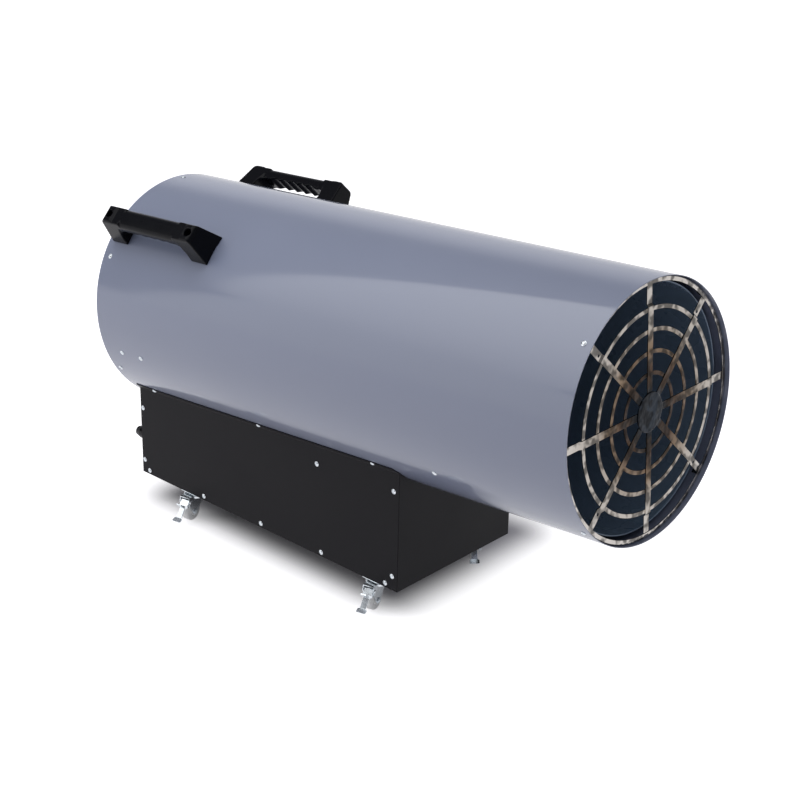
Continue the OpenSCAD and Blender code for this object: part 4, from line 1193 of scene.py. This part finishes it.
@dataclass
class ScrewPlan:
    """Where the screws sit, in millimetres, in degrees round the tube, or as shares of the box.

    Attributes:
        heater: The heater's main sizes.
        rear_inset: From the tube's rear edge to the guard's screws.
        outlet_angles: Places of the grille's screws round the tube.
        bracket_insets: From the tube's rear edge to the motor bracket's screws.
        bracket_angle: Place of those round the tube.
        liner_inset: From the tube's outlet edge to the liner's screws.
        liner_angle: Place of those round the tube.
        low_row: Places of a side panel's bottom row along the box.
        low_height: Height of that row over the box's underside.
        top_row: Places of the row through the panel's rolled edge.
        top_share: How far up the rolled edge that row sits.
        front_inset: From the box's outlet end to its corner screws.
        front_heights: Heights of those.
        back_inset: From the box's rear end to its corner screws.
        back_heights: Heights of those.
        control_share: Place of the single screw that holds the ignition unit.
        control_drop: How far it sits under the panel's top edge.
    """

    heater: HeaterFrame
    rear_inset: float = 18
    outlet_angles: tuple[float, ...] = (45, 135, 225, 315)
    bracket_insets: Flat = (49, 102)
    bracket_angle: float = 108
    liner_inset: float = 291
    liner_angle: float = 123
    low_row: tuple[float, ...] = (0.03, 0.262, 0.494, 0.726, 0.958)
    low_height: float = 8
    top_row: tuple[float, ...] = (0.074, 0.498, 0.915)
    top_share: float = 0.6
    front_inset: float = 12
    front_heights: Flat = (27, 188)
    back_inset: float = 6.5
    back_heights: Flat = (27, 135)
    control_share: float = 0.709
    control_drop: float = 36

    def tube(self) -> list[Matrix]:
        """Places of the body tube's screws, with Z out of the tube."""
        h = self.heater
        half = h.tube_length / 2
        spots = [(self.rear_inset - half, a) for a in h.rear_screw_angles]
        spots += [(half - h.outlet_screw_inset, a) for a in self.outlet_angles]
        spots += [(x - half, side * self.bracket_angle) for side in (-1, 1) for x in self.bracket_insets]
        spots += [(half - self.liner_inset, side * self.liner_angle) for side in (-1, 1)]
        return [h.round_tube(x, a, h.tube_radius) for x, a in spots]

    def flat(self, side: int) -> list[Matrix]:
        """Places of the screws in a side panel's flat part, with Z out of the sheet.

        Args:
            side: -1 for the near panel and 1 for the far one.

        Returns:
            The places.
        """
        h = self.heater
        length = h.base_front - h.base_rear
        spots = [(h.base_rear + share * length, self.low_height) for share in self.low_row]
        spots += [(h.base_front - self.front_inset, z) for z in self.front_heights]
        spots += [(h.base_rear + self.back_inset, z) for z in self.back_heights]
        if side < 0:
            x = h.base_rear + self.control_share * length
            spots.append((x, h.panel_top(x) - self.control_drop - h.caster_height))
        face = Matrix.Rotation(math.radians(-90 * side), 4, "X")
        return [Matrix.Translation(Vector((x, side * h.base_width / 2, h.caster_height + z)) * MM) @ face
                for x, z in spots]

    def rolled(self, side: int) -> list[Matrix]:
        """Places of the screws through a side panel's rolled edge, with Z out of the tube.

        Args:
            side: -1 for the near panel and 1 for the far one.

        Returns:
            The places.
        """
        h = self.heater
        out = h.tube_radius + h.tube_gap + h.sheet
        up = self.top_share * h.panel_roll / (math.tau * h.tube_radius) * 360
        turn = math.degrees(math.asin(h.base_width / 2 / out)) + up
        tilt = math.radians(h.tube_tilt)
        drop = out * math.cos(math.radians(turn))
        places = []
        for share in self.top_row:
            x = h.base_rear + share * (h.base_front - h.base_rear)
            along = (x - drop * math.sin(tilt)) / math.cos(tilt)
            places.append(h.round_tube(along, side * (180 - turn), out))
        return places

    def box(self) -> list[Matrix]:
        """Places of the base box's screws."""
        return [*self.flat(-1), *self.rolled(-1), *self.flat(1), *self.rolled(1)]


@dataclass
class RearGuard:
    """Rings of wire on wire spokes over the inlet, with tabs that are screwed to the tube.

    Attributes:
        heater: The heater's main sizes.
        inset: From the tube's rear edge to the rings.
        wire: Radius of the wire.
        clear: From the outermost ring to the tube's wall.
        rings: Number of rings.
        first: Radius of the innermost ring.
        spokes: Number of spokes.
        weld: How far the spokes sink into the rings.
        tab: Sizes of a tab: along the tube, round it, and its thickness.
        tab_out: From the outside of the outermost ring to the middle of that thickness.
    """

    heater: HeaterFrame
    inset: float = 5
    wire: float = 1.6
    clear: float = 1.5
    rings: int = 13
    first: float = 34
    spokes: int = 6
    weld: float = 0.3
    tab: Point = (24, 14, 1.2)
    tab_out: float = 0.5

    def build(self) -> None:
        """Models and dresses the guard."""
        h = self.heater
        x = self.inset - h.tube_length / 2
        hoop = h.tube_radius - h.tube_wall - self.wire - self.clear
        pitch = (hoop - self.first) / (self.rings - 1)
        parts = [Piece.torus(f"wire_{i}", self.first + i * pitch, self.wire, (x, 0, 0), Axis.X, 160, 10)
                 for i in range(self.rings)]
        reach = hoop - self.first + 2 * self.wire
        spot = (x + 2 * self.wire - self.weld, 0, self.first - self.wire + reach / 2)
        for i in range(self.spokes):
            rod = Piece.cylinder("rod", self.wire, reach, spot, sides=16).round_edges(0.7, over=60)
            parts.append(rod.move(Matrix.Rotation(-math.tau * i / self.spokes, 4, "X")))
        spot = (x - self.wire + self.tab[0] / 2, 0, hoop + self.wire + self.tab_out)
        for angle in h.rear_screw_angles:
            tab = Piece.box("tab", self.tab, spot).round_edges(0.4)
            parts.append(tab.move(Matrix.Rotation(-math.radians(angle), 4, "X")))
        guard = parts[0].join(parts[1:])
        guard.obj.name = "rear_guard_wires"
        guard.smooth(40).move(h.tube)
        guard.dress(WIRE, FIXED, "guard_wire", "rear_guard")


@dataclass
class Handle:
    """A moulded hand grip: two blocks, a D-shaped bar between them and finger scallops under it.

    Attributes:
        heater: The heater's main sizes.
        node: The CAD node that it stands for.
        side: -1 for the near grip and 1 for the far one.
        length: Length where it meets the tube.
        width: Width where it meets the tube.
        height: Height over the tube.
        root: How deep the blocks are modelled, before the tube is cut out of them.
        bar_width: Width of the bar.
        bar_half: Half the bar's length between the blocks' steps.
        sunk: How far the bar lies under the blocks' tops.
        bar_top: Radius of the bar's upper corners.
        bar_low: Radius of its lower corners.
        end_round: Radius of the blocks' outer corners, seen from the side.
        end_lean: How far the blocks' ends lean in.
        crown_half: Half the flat of the blocks' tops, seen from the end.
        crown_round: Radius beside that flat.
        opening: Length of the opening.
        clear: Height of the opening over the tube.
        opening_round: Radius of the opening's upper corners.
        fingers: Number of scallops.
        finger_run: Length of all the scallops.
        finger_deep: Depth of a scallop.
        screw_at: From the grip's middle to its screws.
        well: Radius of the deep recess of a screw.
        bore: Radius of a screw's hole.
        inset: From the tube's rear edge to the grip's middle.
        turn: Place round the tube from the top, in degrees.
        block: Sizes of the box that keeps a whole block while the bar is cut to its section.
        block_at: From the grip's middle to that box's.
        voxel: Size of the even mesh that softens the grip's edges.
        evened: How often that mesh is evened out.
    """

    heater: HeaterFrame
    node: str
    side: int
    length: float = 254
    width: float = 57
    height: float = 57
    root: float = 60
    bar_width: float = 38
    bar_half: float = 90
    sunk: float = 2.6
    bar_top: float = 12.5
    bar_low: float = 5
    end_round: float = 11
    end_lean: float = 8
    crown_half: float = 10.5
    crown_round: float = 7
    opening: float = 172
    clear: float = 31
    opening_round: float = 15
    fingers: int = 5
    finger_run: float = 116
    finger_deep: float = 4.5
    screw_at: float = 105
    well: float = 7.5
    bore: float = 3.4
    inset: float = 139
    turn: float = 45
    block: Point = (70, 90, 140)
    block_at: float = 107
    voxel: float = 1.1
    evened: int = 7

    def outline(self) -> list[Flat]:
        """The side view without the opening: (x, z)."""
        half, top, r = self.length / 2, self.height, self.end_round
        low, step = top - self.sunk, self.bar_half
        right = [(half, -self.root), (half, 0)]
        right += arc((half - r - self.end_lean, top - r), r, 8, 90, 5)
        right += [(step + 6, top), (step + 4.5, top - 0.6), (step + 1.5, low + 0.2), (step, low)]
        return mirrored(right)

    def ends(self) -> list[Flat]:
        """The end view: (y, z)."""
        crown = arc((self.crown_half, self.height - self.crown_round), self.crown_round, 10, 90, 4)
        return mirrored([(self.width / 2, -self.root), (self.width / 2, 0), *crown])

    def plan(self) -> list[Flat]:
        """The plan view with the flares into the bar: (x, y)."""
        flare = (self.width - self.bar_width) / 2
        foot = self.opening / 2
        side = [(-self.length, self.width / 2), (-foot, self.width / 2)]
        side += arc((-foot + flare, self.width / 2), flare, 180, 270, 5)[1:]
        side += arc((foot - flare, self.width / 2), flare, 270, 360, 5)
        side.append((self.length, self.width / 2))
        return side + [(a, -b) for a, b in reversed(side)]

    def bar(self) -> list[Flat]:
        """The bar's D-shaped section: (y, z)."""
        half, top, low = self.bar_width / 2, self.height - self.sunk, self.clear - 1
        right = arc((half - self.bar_low, low + self.bar_low), self.bar_low, -90, 0, 4)
        right += arc((half - self.bar_top, top - self.bar_top), self.bar_top, 0, 90, 8)
        return mirrored(right)

    def mouth(self) -> list[Flat]:
        """The opening under the bar, scalloped for the fingers: (x, z)."""
        half, top, r, steps = self.opening / 2, self.clear, self.opening_round, 40
        line = [(-half, -self.root - 10)] + arc((-half + r, top - r), r, 180, 90, 5)
        for i in range(steps + 1):
            wave = abs(math.sin(i / steps * self.fingers * math.pi))
            line.append((self.finger_run * (i / steps - 0.5), top + self.finger_deep * wave))
        return line + arc((half - r, top - r), r, 90, 0, 5) + [(half, -self.root - 10)]

    def build(self) -> None:
        """Models and dresses the grip."""
        h = self.heater
        mask = Piece.plate("bar_mask", self.bar(), 160, Axis.X)
        for x in (-self.block_at, self.block_at):
            mask.combine(Blend.FUSE, Piece.box("block_mask", self.block, (x, 0, 0)))
        # The tools from here on reach well past the grip, so that only their outlines shape it
        grip = Piece.plate(f"{self.node}_grip", self.outline(), 70, Axis.Y)
        grip.combine(Blend.KEEP, Piece.plate("ends", self.ends(), 400, Axis.X))
        grip.combine(Blend.KEEP, Piece.plate("plan", self.plan(), 200), mask)
        grip.cut(Piece.plate("mouth", self.mouth(), 90, Axis.Y))
        for x in (-self.screw_at, self.screw_at):
            grip.cut(Piece.cylinder("well", self.well, 40, (x, 0, self.height - 14), sides=40),
                     Piece.cylinder("bore", self.bore, 120, (x, 0, 0), sides=24))
        grip.cut(Piece.cylinder("tube", h.tube_radius + h.tube_gap, 400, (0, 0, -h.tube_radius),
                                Axis.X, 360))
        grip.mould(self.voxel, self.evened)
        grip.move(h.round_tube(self.inset - h.tube_length / 2, self.side * self.turn, h.tube_radius))
        grip.dress(BLACK_PLASTIC, FIXED, "black_plastic", self.node)


@dataclass
class Caster:
    """One braked swivel caster: fork with a domed cap, wheel, pedal, axle nuts and rivets.

    Attributes:
        heater: The heater's main sizes.
        index: The caster's number.
        at: Place of its swivel axis.
        turn: How far it is turned about that axis, in degrees.
        axle: Place of the axle, as (y, z) under the box.
        pivot: Place of the pedal's rivet, as (y, z).
        reach: From the wheel's middle to the outer face of the fork's cheeks.
        fork_top: Height of the fork's top face under the box.
        dome: Radius of the cap.
        dome_height: Depth of the cap's rolled rim.
        gap: Width between the cheeks, kept clear of the cap.
    """

    heater: HeaterFrame
    index: int
    at: Flat
    turn: float
    axle: Flat = (-17, -38)
    pivot: Flat = (-31.5, -14.5)
    reach: float = 11.3
    fork_top: float = -4.9
    dome: float = 22
    dome_height: float = 5.4
    gap: float = 19.6

    @property
    def place(self) -> Matrix:
        """The caster's own frame, in metres: trail along -Y, zero at the box's underside."""
        return (Matrix.Translation(Vector((*self.at, self.heater.caster_height)) * MM)
                @ Matrix.Rotation(math.radians(self.turn), 4, "Z"))

    def local(self, part: str) -> Piece:
        """Copies one of the caster's CAD nodes into the caster's own frame.

        Args:
            part: The node's name without its number.

        Returns:
            The copy.
        """
        node = f"{part}_{self.index}"
        return Piece.node_copy(f"{node}_made", node).move(self.place.inverted())

    def fork(self) -> Piece:
        """Eases the fork's cut edges and spins its domed, rolled cap."""
        fork = self.local("caster_fork").round_edges(0.4, over=50)
        top, r, deep = self.fork_top, self.dome, self.dome_height
        outline = [(15, top)] + arc((r - 3, top - 3), 3, 90, 0, 5)
        outline += arc((r - 0.8, top - deep), 0.8, 0, -180, 5)
        outline += arc((r - 3, top - 3), 1.4, 0, 90, 3) + [(15, top - 1.6), (15, top)]
        cap = Piece.lathe(f"cap_{self.index}", outline, steps=96)
        cap.cut(Piece.box("gap", (self.gap, 60, 8), (0, -30, top - 5.6)))
        return fork.join([cap])

    def pins(self) -> Piece:
        """Turns the axle with its two nuts and the pedal's rivet with its two heads."""
        out, axle, pivot = self.reach, self.axle, self.pivot
        rod = Piece.cylinder(f"caster_pins_{self.index}_made", 2.8, 2 * out + 1, (0, *axle), Axis.X, 32)
        parts = [Piece.cylinder("rivet", 2, 2 * out, (0, *pivot), Axis.X, 24)]
        dome = [(0, 0), (3.2, 0), (3.1, 0.6), (2.5, 1.2), (1.5, 1.55), (0, 1.6)]
        for side in (-1, 1):
            nut = Piece.cylinder("nut", 4.8, 2.4, (side * (out + 1.2), *axle), Axis.X, 6)
            stub = Piece.cylinder("stub", 2.4, 3.2, (side * (out + 1.6), *axle), Axis.X, 24)
            head = [(r, side * z) for r, z in dome]
            parts += [nut.round_edges(0.5, over=40), stub.round_edges(0.5, over=60),
                      Piece.lathe("head", head, Axis.X, (side * out, *pivot), 28)]
        return rod.join(parts)

    def wheel(self) -> Piece:
        """Turns the nylon wheel: crowned tread, raised bead on each face, hub boss."""
        hub = [(2.85, -9), (6.6, -9), (7, -8.7), (7.9, -6.7), (8.4, -6.5)]
        bead = [(9.2, -6.5), (10.2, -7.5), (10.8, -7.8), (15.2, -7.8), (15.7, -7.6), (16, -7.4)]
        tread = [(16.2, -7.6), (17.6, -7.1), (18.6, -6), (18.95, -4.6), (19, -2.5), (19, 0)]
        side = hub + bead + tread
        profile = side + [(r, -z) for r, z in reversed(side[:-1])] + [side[0]]
        return Piece.lathe(f"caster_wheel_{self.index}_made", profile, Axis.X, (0, *self.axle), 96)

    def build(self) -> None:
        """Models and dresses the caster's moving pieces."""
        i = self.index
        self.fork().smooth(40).move(self.place).dress(ZINC, f"swivel_{i}", "zinc", f"caster_fork_{i}")
        self.pins().smooth().move(self.place).dress(ZINC, f"swivel_{i}", "zinc", f"caster_pins_{i}")
        wheel = self.wheel().smooth().move(self.place)
        wheel.dress(NYLON, f"wheel_{i}", "white_nylon", f"caster_wheel_{i}")
        pedal = self.local("brake_pedal").round_edges(0.5, 3, 20).smooth(50).move(self.place)
        pedal.dress(ZINC, f"pedal_{i}", "zinc", f"brake_pedal_{i}")


@dataclass
class HeatLiner:
    """The inner liner with its rolled lips.

    Attributes:
        heater: The heater's main sizes.
        radius: Its middle radius.
        wall: Its wall to either side of that.
        inset: From the tube's outlet edge to its front.
        length: Its length.
        lip: Diameter of a lip's roll.
    """

    heater: HeaterFrame
    radius: float = 202
    wall: float = 1
    inset: float = 22
    length: float = 718
    lip: float = 2.5

    def build(self) -> None:
        """Models and dresses the liner."""
        x1 = self.heater.tube_length / 2 - self.inset
        x0 = x1 - self.length
        r, w, e = self.radius, self.wall, self.lip / 2
        front = [(r, x1 - 2 * e - 1), *arc((r + w - e, x1 - e), e, -60, 180, 8), (r - w, x1 - 2 * e - 2)]
        rear = [(r - w, x0 + 2 * e + 2), *arc((r + w - e, x0 + e), e, 180, 420, 8), (r, x0 + 2 * e + 1)]
        liner = Piece.lathe("liner_shell", front + rear + front[:1], Axis.X, steps=192)
        liner.smooth(50, weigh=False).move(self.heater.tube)
        liner.dress(LINER_STEEL, FIXED, "heat_steel", "heat_liner")


@dataclass
class Rounded:
    """A CAD solid whose shape is right: it is copied, its sharp edges are eased and it is dressed.

    Attributes:
        node: The CAD node.
        finish: Its finish.
        slot: Name of a material slot, passed on to Piece.dress.
        ease: Rounding of its edges, or 0 where thin sheet would lose its form.
        body: The CAD body that it rides on.
    """

    node: str
    finish: Finish
    slot: str
    ease: float = 0.3
    body: str = FIXED

    def build(self) -> None:
        """Copies, eases and dresses the solid."""
        piece = Piece.node_copy(f"{self.node}_dressed", self.node)
        if self.ease:
            piece.round_edges(self.ease, over=40)
        piece.smooth().dress(self.finish, self.body, self.slot, self.node)


@dataclass
class Studio:
    """Floor, backdrop, lights and camera of the photograph.

    Attributes:
        azimuth: The camera's place round the heater, in degrees from -Y towards +X.
        elevation: Its height over the floor, in degrees.
        roll: Its roll, in degrees.
        camera_at: Its place, in millimetres.
        focal_px: Its focal length in pixels of the photograph.
        frame_px: Width of the photograph in pixels.
        floor_size: Side of the floor, in metres.
        painted_shadow_patch: Middle and half sizes of the painted shadow patch under the base, in metres.
        painted_shadow_fade: How far round that patch the floor grows pale, in metres.
        floor_glow: The floor's own light in the patch and far from it, where 1 is white.
        floor_share: Share of that light that falls on the heater.
        mirror_share: Share that its reflections add.
        room: Light of the world before the heater, where 1 is white.
        backdrop: Light of the world behind it.
        backdrop_span: Where the one turns to the other, as the cosine of the angle.
    """

    azimuth: float = 41.898
    elevation: float = 24.075
    roll: float = 1.328
    camera_at: Point = (1950.35, -2153.57, 1617.67)
    focal_px: float = 1822.1
    frame_px: float = 800
    floor_size: float = 60
    painted_shadow_patch: tuple[float, float, float, float] = (-0.19, 0.08, 0.27, 0.16)
    painted_shadow_fade: float = 0.12
    floor_glow: Flat = (0.02, 1.0)
    floor_share: float = 0.2
    mirror_share: float = 0.5
    room: float = 0.24
    backdrop: float = 0.85
    backdrop_span: Flat = (0.8, 0.95)

    def camera(self) -> None:
        """Sets the camera at the photograph's place."""
        data = bpy.data.cameras.new("photo_camera")
        data.sensor_width = 36
        data.lens = self.focal_px / self.frame_px * data.sensor_width
        data.clip_end = 100
        a, e = math.radians(self.azimuth), math.radians(self.elevation)
        back = Vector((math.sin(a) * math.cos(e), -math.cos(a) * math.cos(e), math.sin(e)))
        right = Vector((math.cos(a), math.sin(a), 0))
        up = back.cross(right)
        turn = Matrix((right, up, back)).transposed().to_4x4()
        obj = bpy.data.objects.new("photo_camera", data)
        obj.matrix_world = (Matrix.Translation(Vector(self.camera_at) * MM) @ turn
                            @ Matrix.Rotation(math.radians(self.roll), 4, "Z"))
        bpy.context.scene.collection.objects.link(obj)
        bpy.context.scene.camera = obj

    def seen(self, tree: bpy.types.NodeTree, *rays: str) -> bpy.types.NodeSocket:
        """Adds a factor that is 1 for some kinds of ray.

        Args:
            tree: The node tree.
            *rays: Outputs of the light path, such as "Is Camera Ray".

        Returns:
            The factor.
        """
        path = add_node(tree, "LightPath")
        total = path.outputs[rays[0]]
        for ray in rays[1:]:
            either = add_node(tree, "Math", {"0": total, "1": path.outputs[ray]}, operation="MAXIMUM")
            total = either.outputs[0]
        return total

    def painted_contact_shadow(self, tree: bpy.types.NodeTree) -> bpy.types.NodeSocket:
        """Adds the floor's own light, dimmed under the base and round it, which paints a shadow there.

        Args:
            tree: The floor's node tree.

        Returns:
            The light's level.
        """
        where = add_node(tree, "TexCoord").outputs["Object"]
        x, y, half_x, half_y = self.painted_shadow_patch
        moved = add_node(tree, "VectorMath", {"0": where, "1": (-x, -y, 0)}, operation="ADD")
        folded = add_node(tree, "VectorMath", {"0": moved.outputs[0]}, operation="ABSOLUTE")
        past = add_node(tree, "VectorMath", {"0": folded.outputs[0], "1": (half_x, half_y, 0)},
                        operation="SUBTRACT")
        beyond = add_node(tree, "VectorMath", {"0": past.outputs[0], "1": (0, 0, 0)},
                          operation="MAXIMUM")
        away = add_node(tree, "VectorMath", {"0": beyond.outputs[0]}, operation="LENGTH")
        # Painted shadow: the glow drops almost to nothing in a patch under the base and grows back to white
        # round it
        level = add_node(tree, "MapRange", {
            "Value": away.outputs["Value"], "From Min": 0.0, "From Max": self.painted_shadow_fade,
            "To Min": self.floor_glow[0], "To Max": self.floor_glow[1]},
            interpolation_type="SMOOTHSTEP")
        return level.outputs["Result"]

    def floor(self) -> None:
        """Lays a pale floor that shows as white, keeps the cast shadow and has a painted shadow under the
        base.
        """
        deselect()
        bpy.ops.mesh.primitive_plane_add(size=self.floor_size, location=(0, 0, 0))
        obj = bpy.context.active_object
        obj.name = "studio_floor"
        made = bpy.data.materials.new("studio_paper_white")
        tree = empty_tree(made)
        shown = add_node(tree, "Math", {
            "0": self.seen(tree, "Is Camera Ray"), "1": 1 - self.floor_share, "2": self.floor_share},
            operation="MULTIPLY_ADD")
        mirrors = add_node(tree, "Math", {
            "0": self.seen(tree, "Is Transmission Ray", "Is Glossy Ray"), "1": self.mirror_share,
            "2": shown.outputs[0]}, operation="MULTIPLY_ADD")
        strength = add_node(tree, "Math", {"0": self.painted_contact_shadow(tree), "1": mirrors.outputs[0]},
                            operation="MULTIPLY")
        paper = add_node(tree, "BsdfDiffuse", {"Color": linear("#C4C2C8")})
        glow = add_node(tree, "Emission", {"Color": linear("#FFFFFF"), "Strength": strength.outputs[0]})
        both = add_node(tree, "AddShader", {"0": paper.outputs[0], "1": glow.outputs[0]})
        add_node(tree, "OutputMaterial", {"Surface": both.outputs[0]})
        obj.data.materials.append(made)

    def world(self) -> None:
        """Surrounds the scene with soft light, white behind the object and dim before it."""
        world = bpy.data.worlds.new("studio_world")
        bpy.context.scene.world = world
        tree = empty_tree(world)
        a = math.radians(self.azimuth)
        way = add_node(tree, "TexCoord").outputs["Generated"]
        behind = add_node(tree, "VectorMath", {"0": way, "1": (-math.sin(a), math.cos(a), 0)},
                          operation="DOT_PRODUCT")
        level = add_node(tree, "MapRange", {
            "Value": behind.outputs["Value"], "From Min": self.backdrop_span[0],
            "From Max": self.backdrop_span[1], "To Min": self.room, "To Max": self.backdrop},
            interpolation_type="SMOOTHSTEP")
        seen = add_node(tree, "Background", {"Color": linear("#FFFFFF"), "Strength": 1.0})
        soft = add_node(tree, "Background", {
            "Color": linear("#F2F3FA"), "Strength": level.outputs["Result"]})
        mix = add_node(tree, "MixShader", {
            "0": self.seen(tree, "Is Camera Ray", "Is Transmission Ray"), "1": soft.outputs[0],
            "2": seen.outputs[0]})
        add_node(tree, "OutputWorld", {"Surface": mix.outputs[0]})

    def panel(self, name: str, size: Flat, at: Point, turn: float, tip: float, levels: Flat) -> None:
        """Hangs a glowing panel whose face fades from one end to the other.

        Args:
            name: The panel's name.
            size: Its width and length in metres.
            at: Its middle in metres.
            turn: How far it is turned about the vertical, in degrees.
            tip: How far it is tipped up from lying flat, in degrees.
            levels: How bright its two ends are, the far or lower one first, where 1 is white.
        """
        deselect()
        bpy.ops.mesh.primitive_plane_add(size=1)
        obj = bpy.context.active_object
        obj.name = name
        obj.matrix_world = (Matrix.Translation(Vector(at)) @ Matrix.Rotation(math.radians(turn), 4, "Z")
                            @ Matrix.Rotation(math.radians(tip), 4, "X")
                            @ Matrix.Diagonal((*size, 1, 1)))
        made = bpy.data.materials.new(f"{name}_glow")
        tree = empty_tree(made)
        where = add_node(tree, "TexCoord").outputs["Object"]
        flat = add_node(tree, "SeparateXYZ", {"Vector": where})
        level = add_node(tree, "MapRange", {
            "Value": flat.outputs["Y"], "From Min": -0.5, "From Max": 0.5,
            "To Min": levels[0], "To Max": levels[1]})
        light = add_node(tree, "Emission", {
            "Color": linear("#FFFFFF"), "Strength": level.outputs["Result"]})
        add_node(tree, "OutputMaterial", {"Surface": light.outputs[0]})
        obj.data.materials.append(made)
        obj.visible_camera = False

    def softbox(self, name: str, size: Flat, at: Point, towards: Point, radiance: float) -> None:
        """Hangs an area lamp.

        Args:
            name: The lamp's name.
            size: Its width and height in metres.
            at: Its middle in metres.
            towards: The point that it faces, in metres.
            radiance: How bright its face is, where 1 is white.
        """
        data = bpy.data.lights.new(name, "AREA")
        data.shape = "RECTANGLE"
        data.size, data.size_y = size
        data.energy = radiance * math.pi * size[0] * size[1]
        obj = bpy.data.objects.new(name, data)
        obj.location = at
        aim = Vector(at) - Vector(towards)
        obj.rotation_mode = "QUATERNION"
        obj.rotation_quaternion = aim.to_track_quat("Z", "Y")
        obj.visible_camera = False
        bpy.context.scene.collection.objects.link(obj)

    def build(self) -> None:
        """Sets up the whole studio."""
        bpy.context.scene.view_settings.view_transform = "Standard"
        self.camera()
        self.floor()
        self.world()
        self.panel("roof_panel", size=(2.0, 7.0), at=(-2.35, -2.54, 2.5), turn=-42.4, tip=0,
                   levels=(1.4, 2.4))
        self.panel("wall_panel", size=(3.6, 2.5), at=(-3.9, -5.57, 1.25), turn=145, tip=90,
                   levels=(1.3, 1.45))
        self.softbox("overhead", size=(2.2, 2.2), at=(0.8, 0.5, 3.0), towards=(0.5, 0.2, 0),
                     radiance=0.7)
        self.softbox("outlet_fill", size=(0.7, 0.7), at=(2.6, -0.5, 0.9), towards=(0.4, 0, 0.45),
                     radiance=1.6)


def plain_pieces() -> list[Rounded]:
    """The CAD solids that keep their own shape, with their finishes."""
    alike = [
        (BURNT_STEEL, "burner_steel", 0,
         ("burner_cone", "burner_plate", "burner_arms", "flame_spreader", "liner_spacers")),
        (ZINC, "zinc", 0.2, ("handle_bolts", "caster_screws", "caster_plates")),
        (BASE_PAINT, "base_paint", 0.4,
         ("base_tray", "outlet_end_panel", "control_panel", "tube_rail_left", "tube_rail_right")),
        (BLACK_PLASTIC, "black_plastic", 0.5,
         ("cable_gland", "rocker_frame", "piezo_igniter", "ignition_unit")),
    ]
    parts = [Rounded(node, finish, slot, ease) for finish, slot, ease, nodes in alike for node in nodes]
    return parts + [
        Rounded("heat_knob", BLACK_PLASTIC, "black_plastic", 0.5, "regulator_knob"),
        Rounded("power_rocker", RED_PLASTIC, "red_plastic", 0.5, "rocker"),
        Rounded("ignition_button", RED_PLASTIC, "red_plastic", 0.4, "ignition_push"),
        Rounded("gas_button", RED_PLASTIC, "red_plastic", 0.4, "gas_push"),
        Rounded("gas_jet", BRASS, "brass"),
        Rounded("gas_inlet", BRASS, "brass"),
        Rounded("gas_pipe", COPPER, "copper", 0),
        Rounded("igniter", CERAMIC, "ceramic", 0.2),
        Rounded("flame_sensor", CERAMIC, "ceramic", 0.2),
        Rounded("gas_valve", CAST_ALUMINIUM, "cast_alu", 1),
        Rounded("fan", PRESSED_ALUMINIUM, "fan_metal", 0.4, "fan_rotor"),
        Rounded("fan_shaft", ZINC, "zinc", 0.4, "fan_rotor"),
        Rounded("fan_motor", MOTOR_ENAMEL, "motor_paint", 0.6),
        Rounded("motor_bracket", GALVANISED, "zinc", 0.4),
    ]


def main() -> None:
    """Builds the studio and every sub-assembly in order."""
    logging.basicConfig(level=logging.INFO, format="%(name)s: %(message)s")
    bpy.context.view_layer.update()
    heater = HeaterFrame()
    screws = ScrewPlan(heater)
    # Each caster's swivel axis, along and across the heater, and how far it is turned, in degrees
    swivels = [(91, -127, 14), (-379, -127, 10), (91, 127, 44), (-379, 127, 160)]
    assemblies = [
        Studio(),
        BodyTube(heater),
        OutletGrille(heater),
        HeatLiner(heater),
        SidePanel(heater, -1, "side_panel_right_sheet"),
        SidePanel(heater, 1, "side_panel_left_sheet"),
        Screws("tube_screw_heads", screws.tube(), "tube_screws"),
        Screws("panel_screw_heads", screws.box(), "panel_screws"),
        RearGuard(heater),
        Handle(heater, "handle_left", 1),
        Handle(heater, "handle_right", -1),
        *[Caster(heater, i, (x, y), turn) for i, (x, y, turn) in enumerate(swivels, 1)],
        *plain_pieces(),
    ]
    for assembly in assemblies:
        assembly.build()


if __name__ == "__main__":
    main()
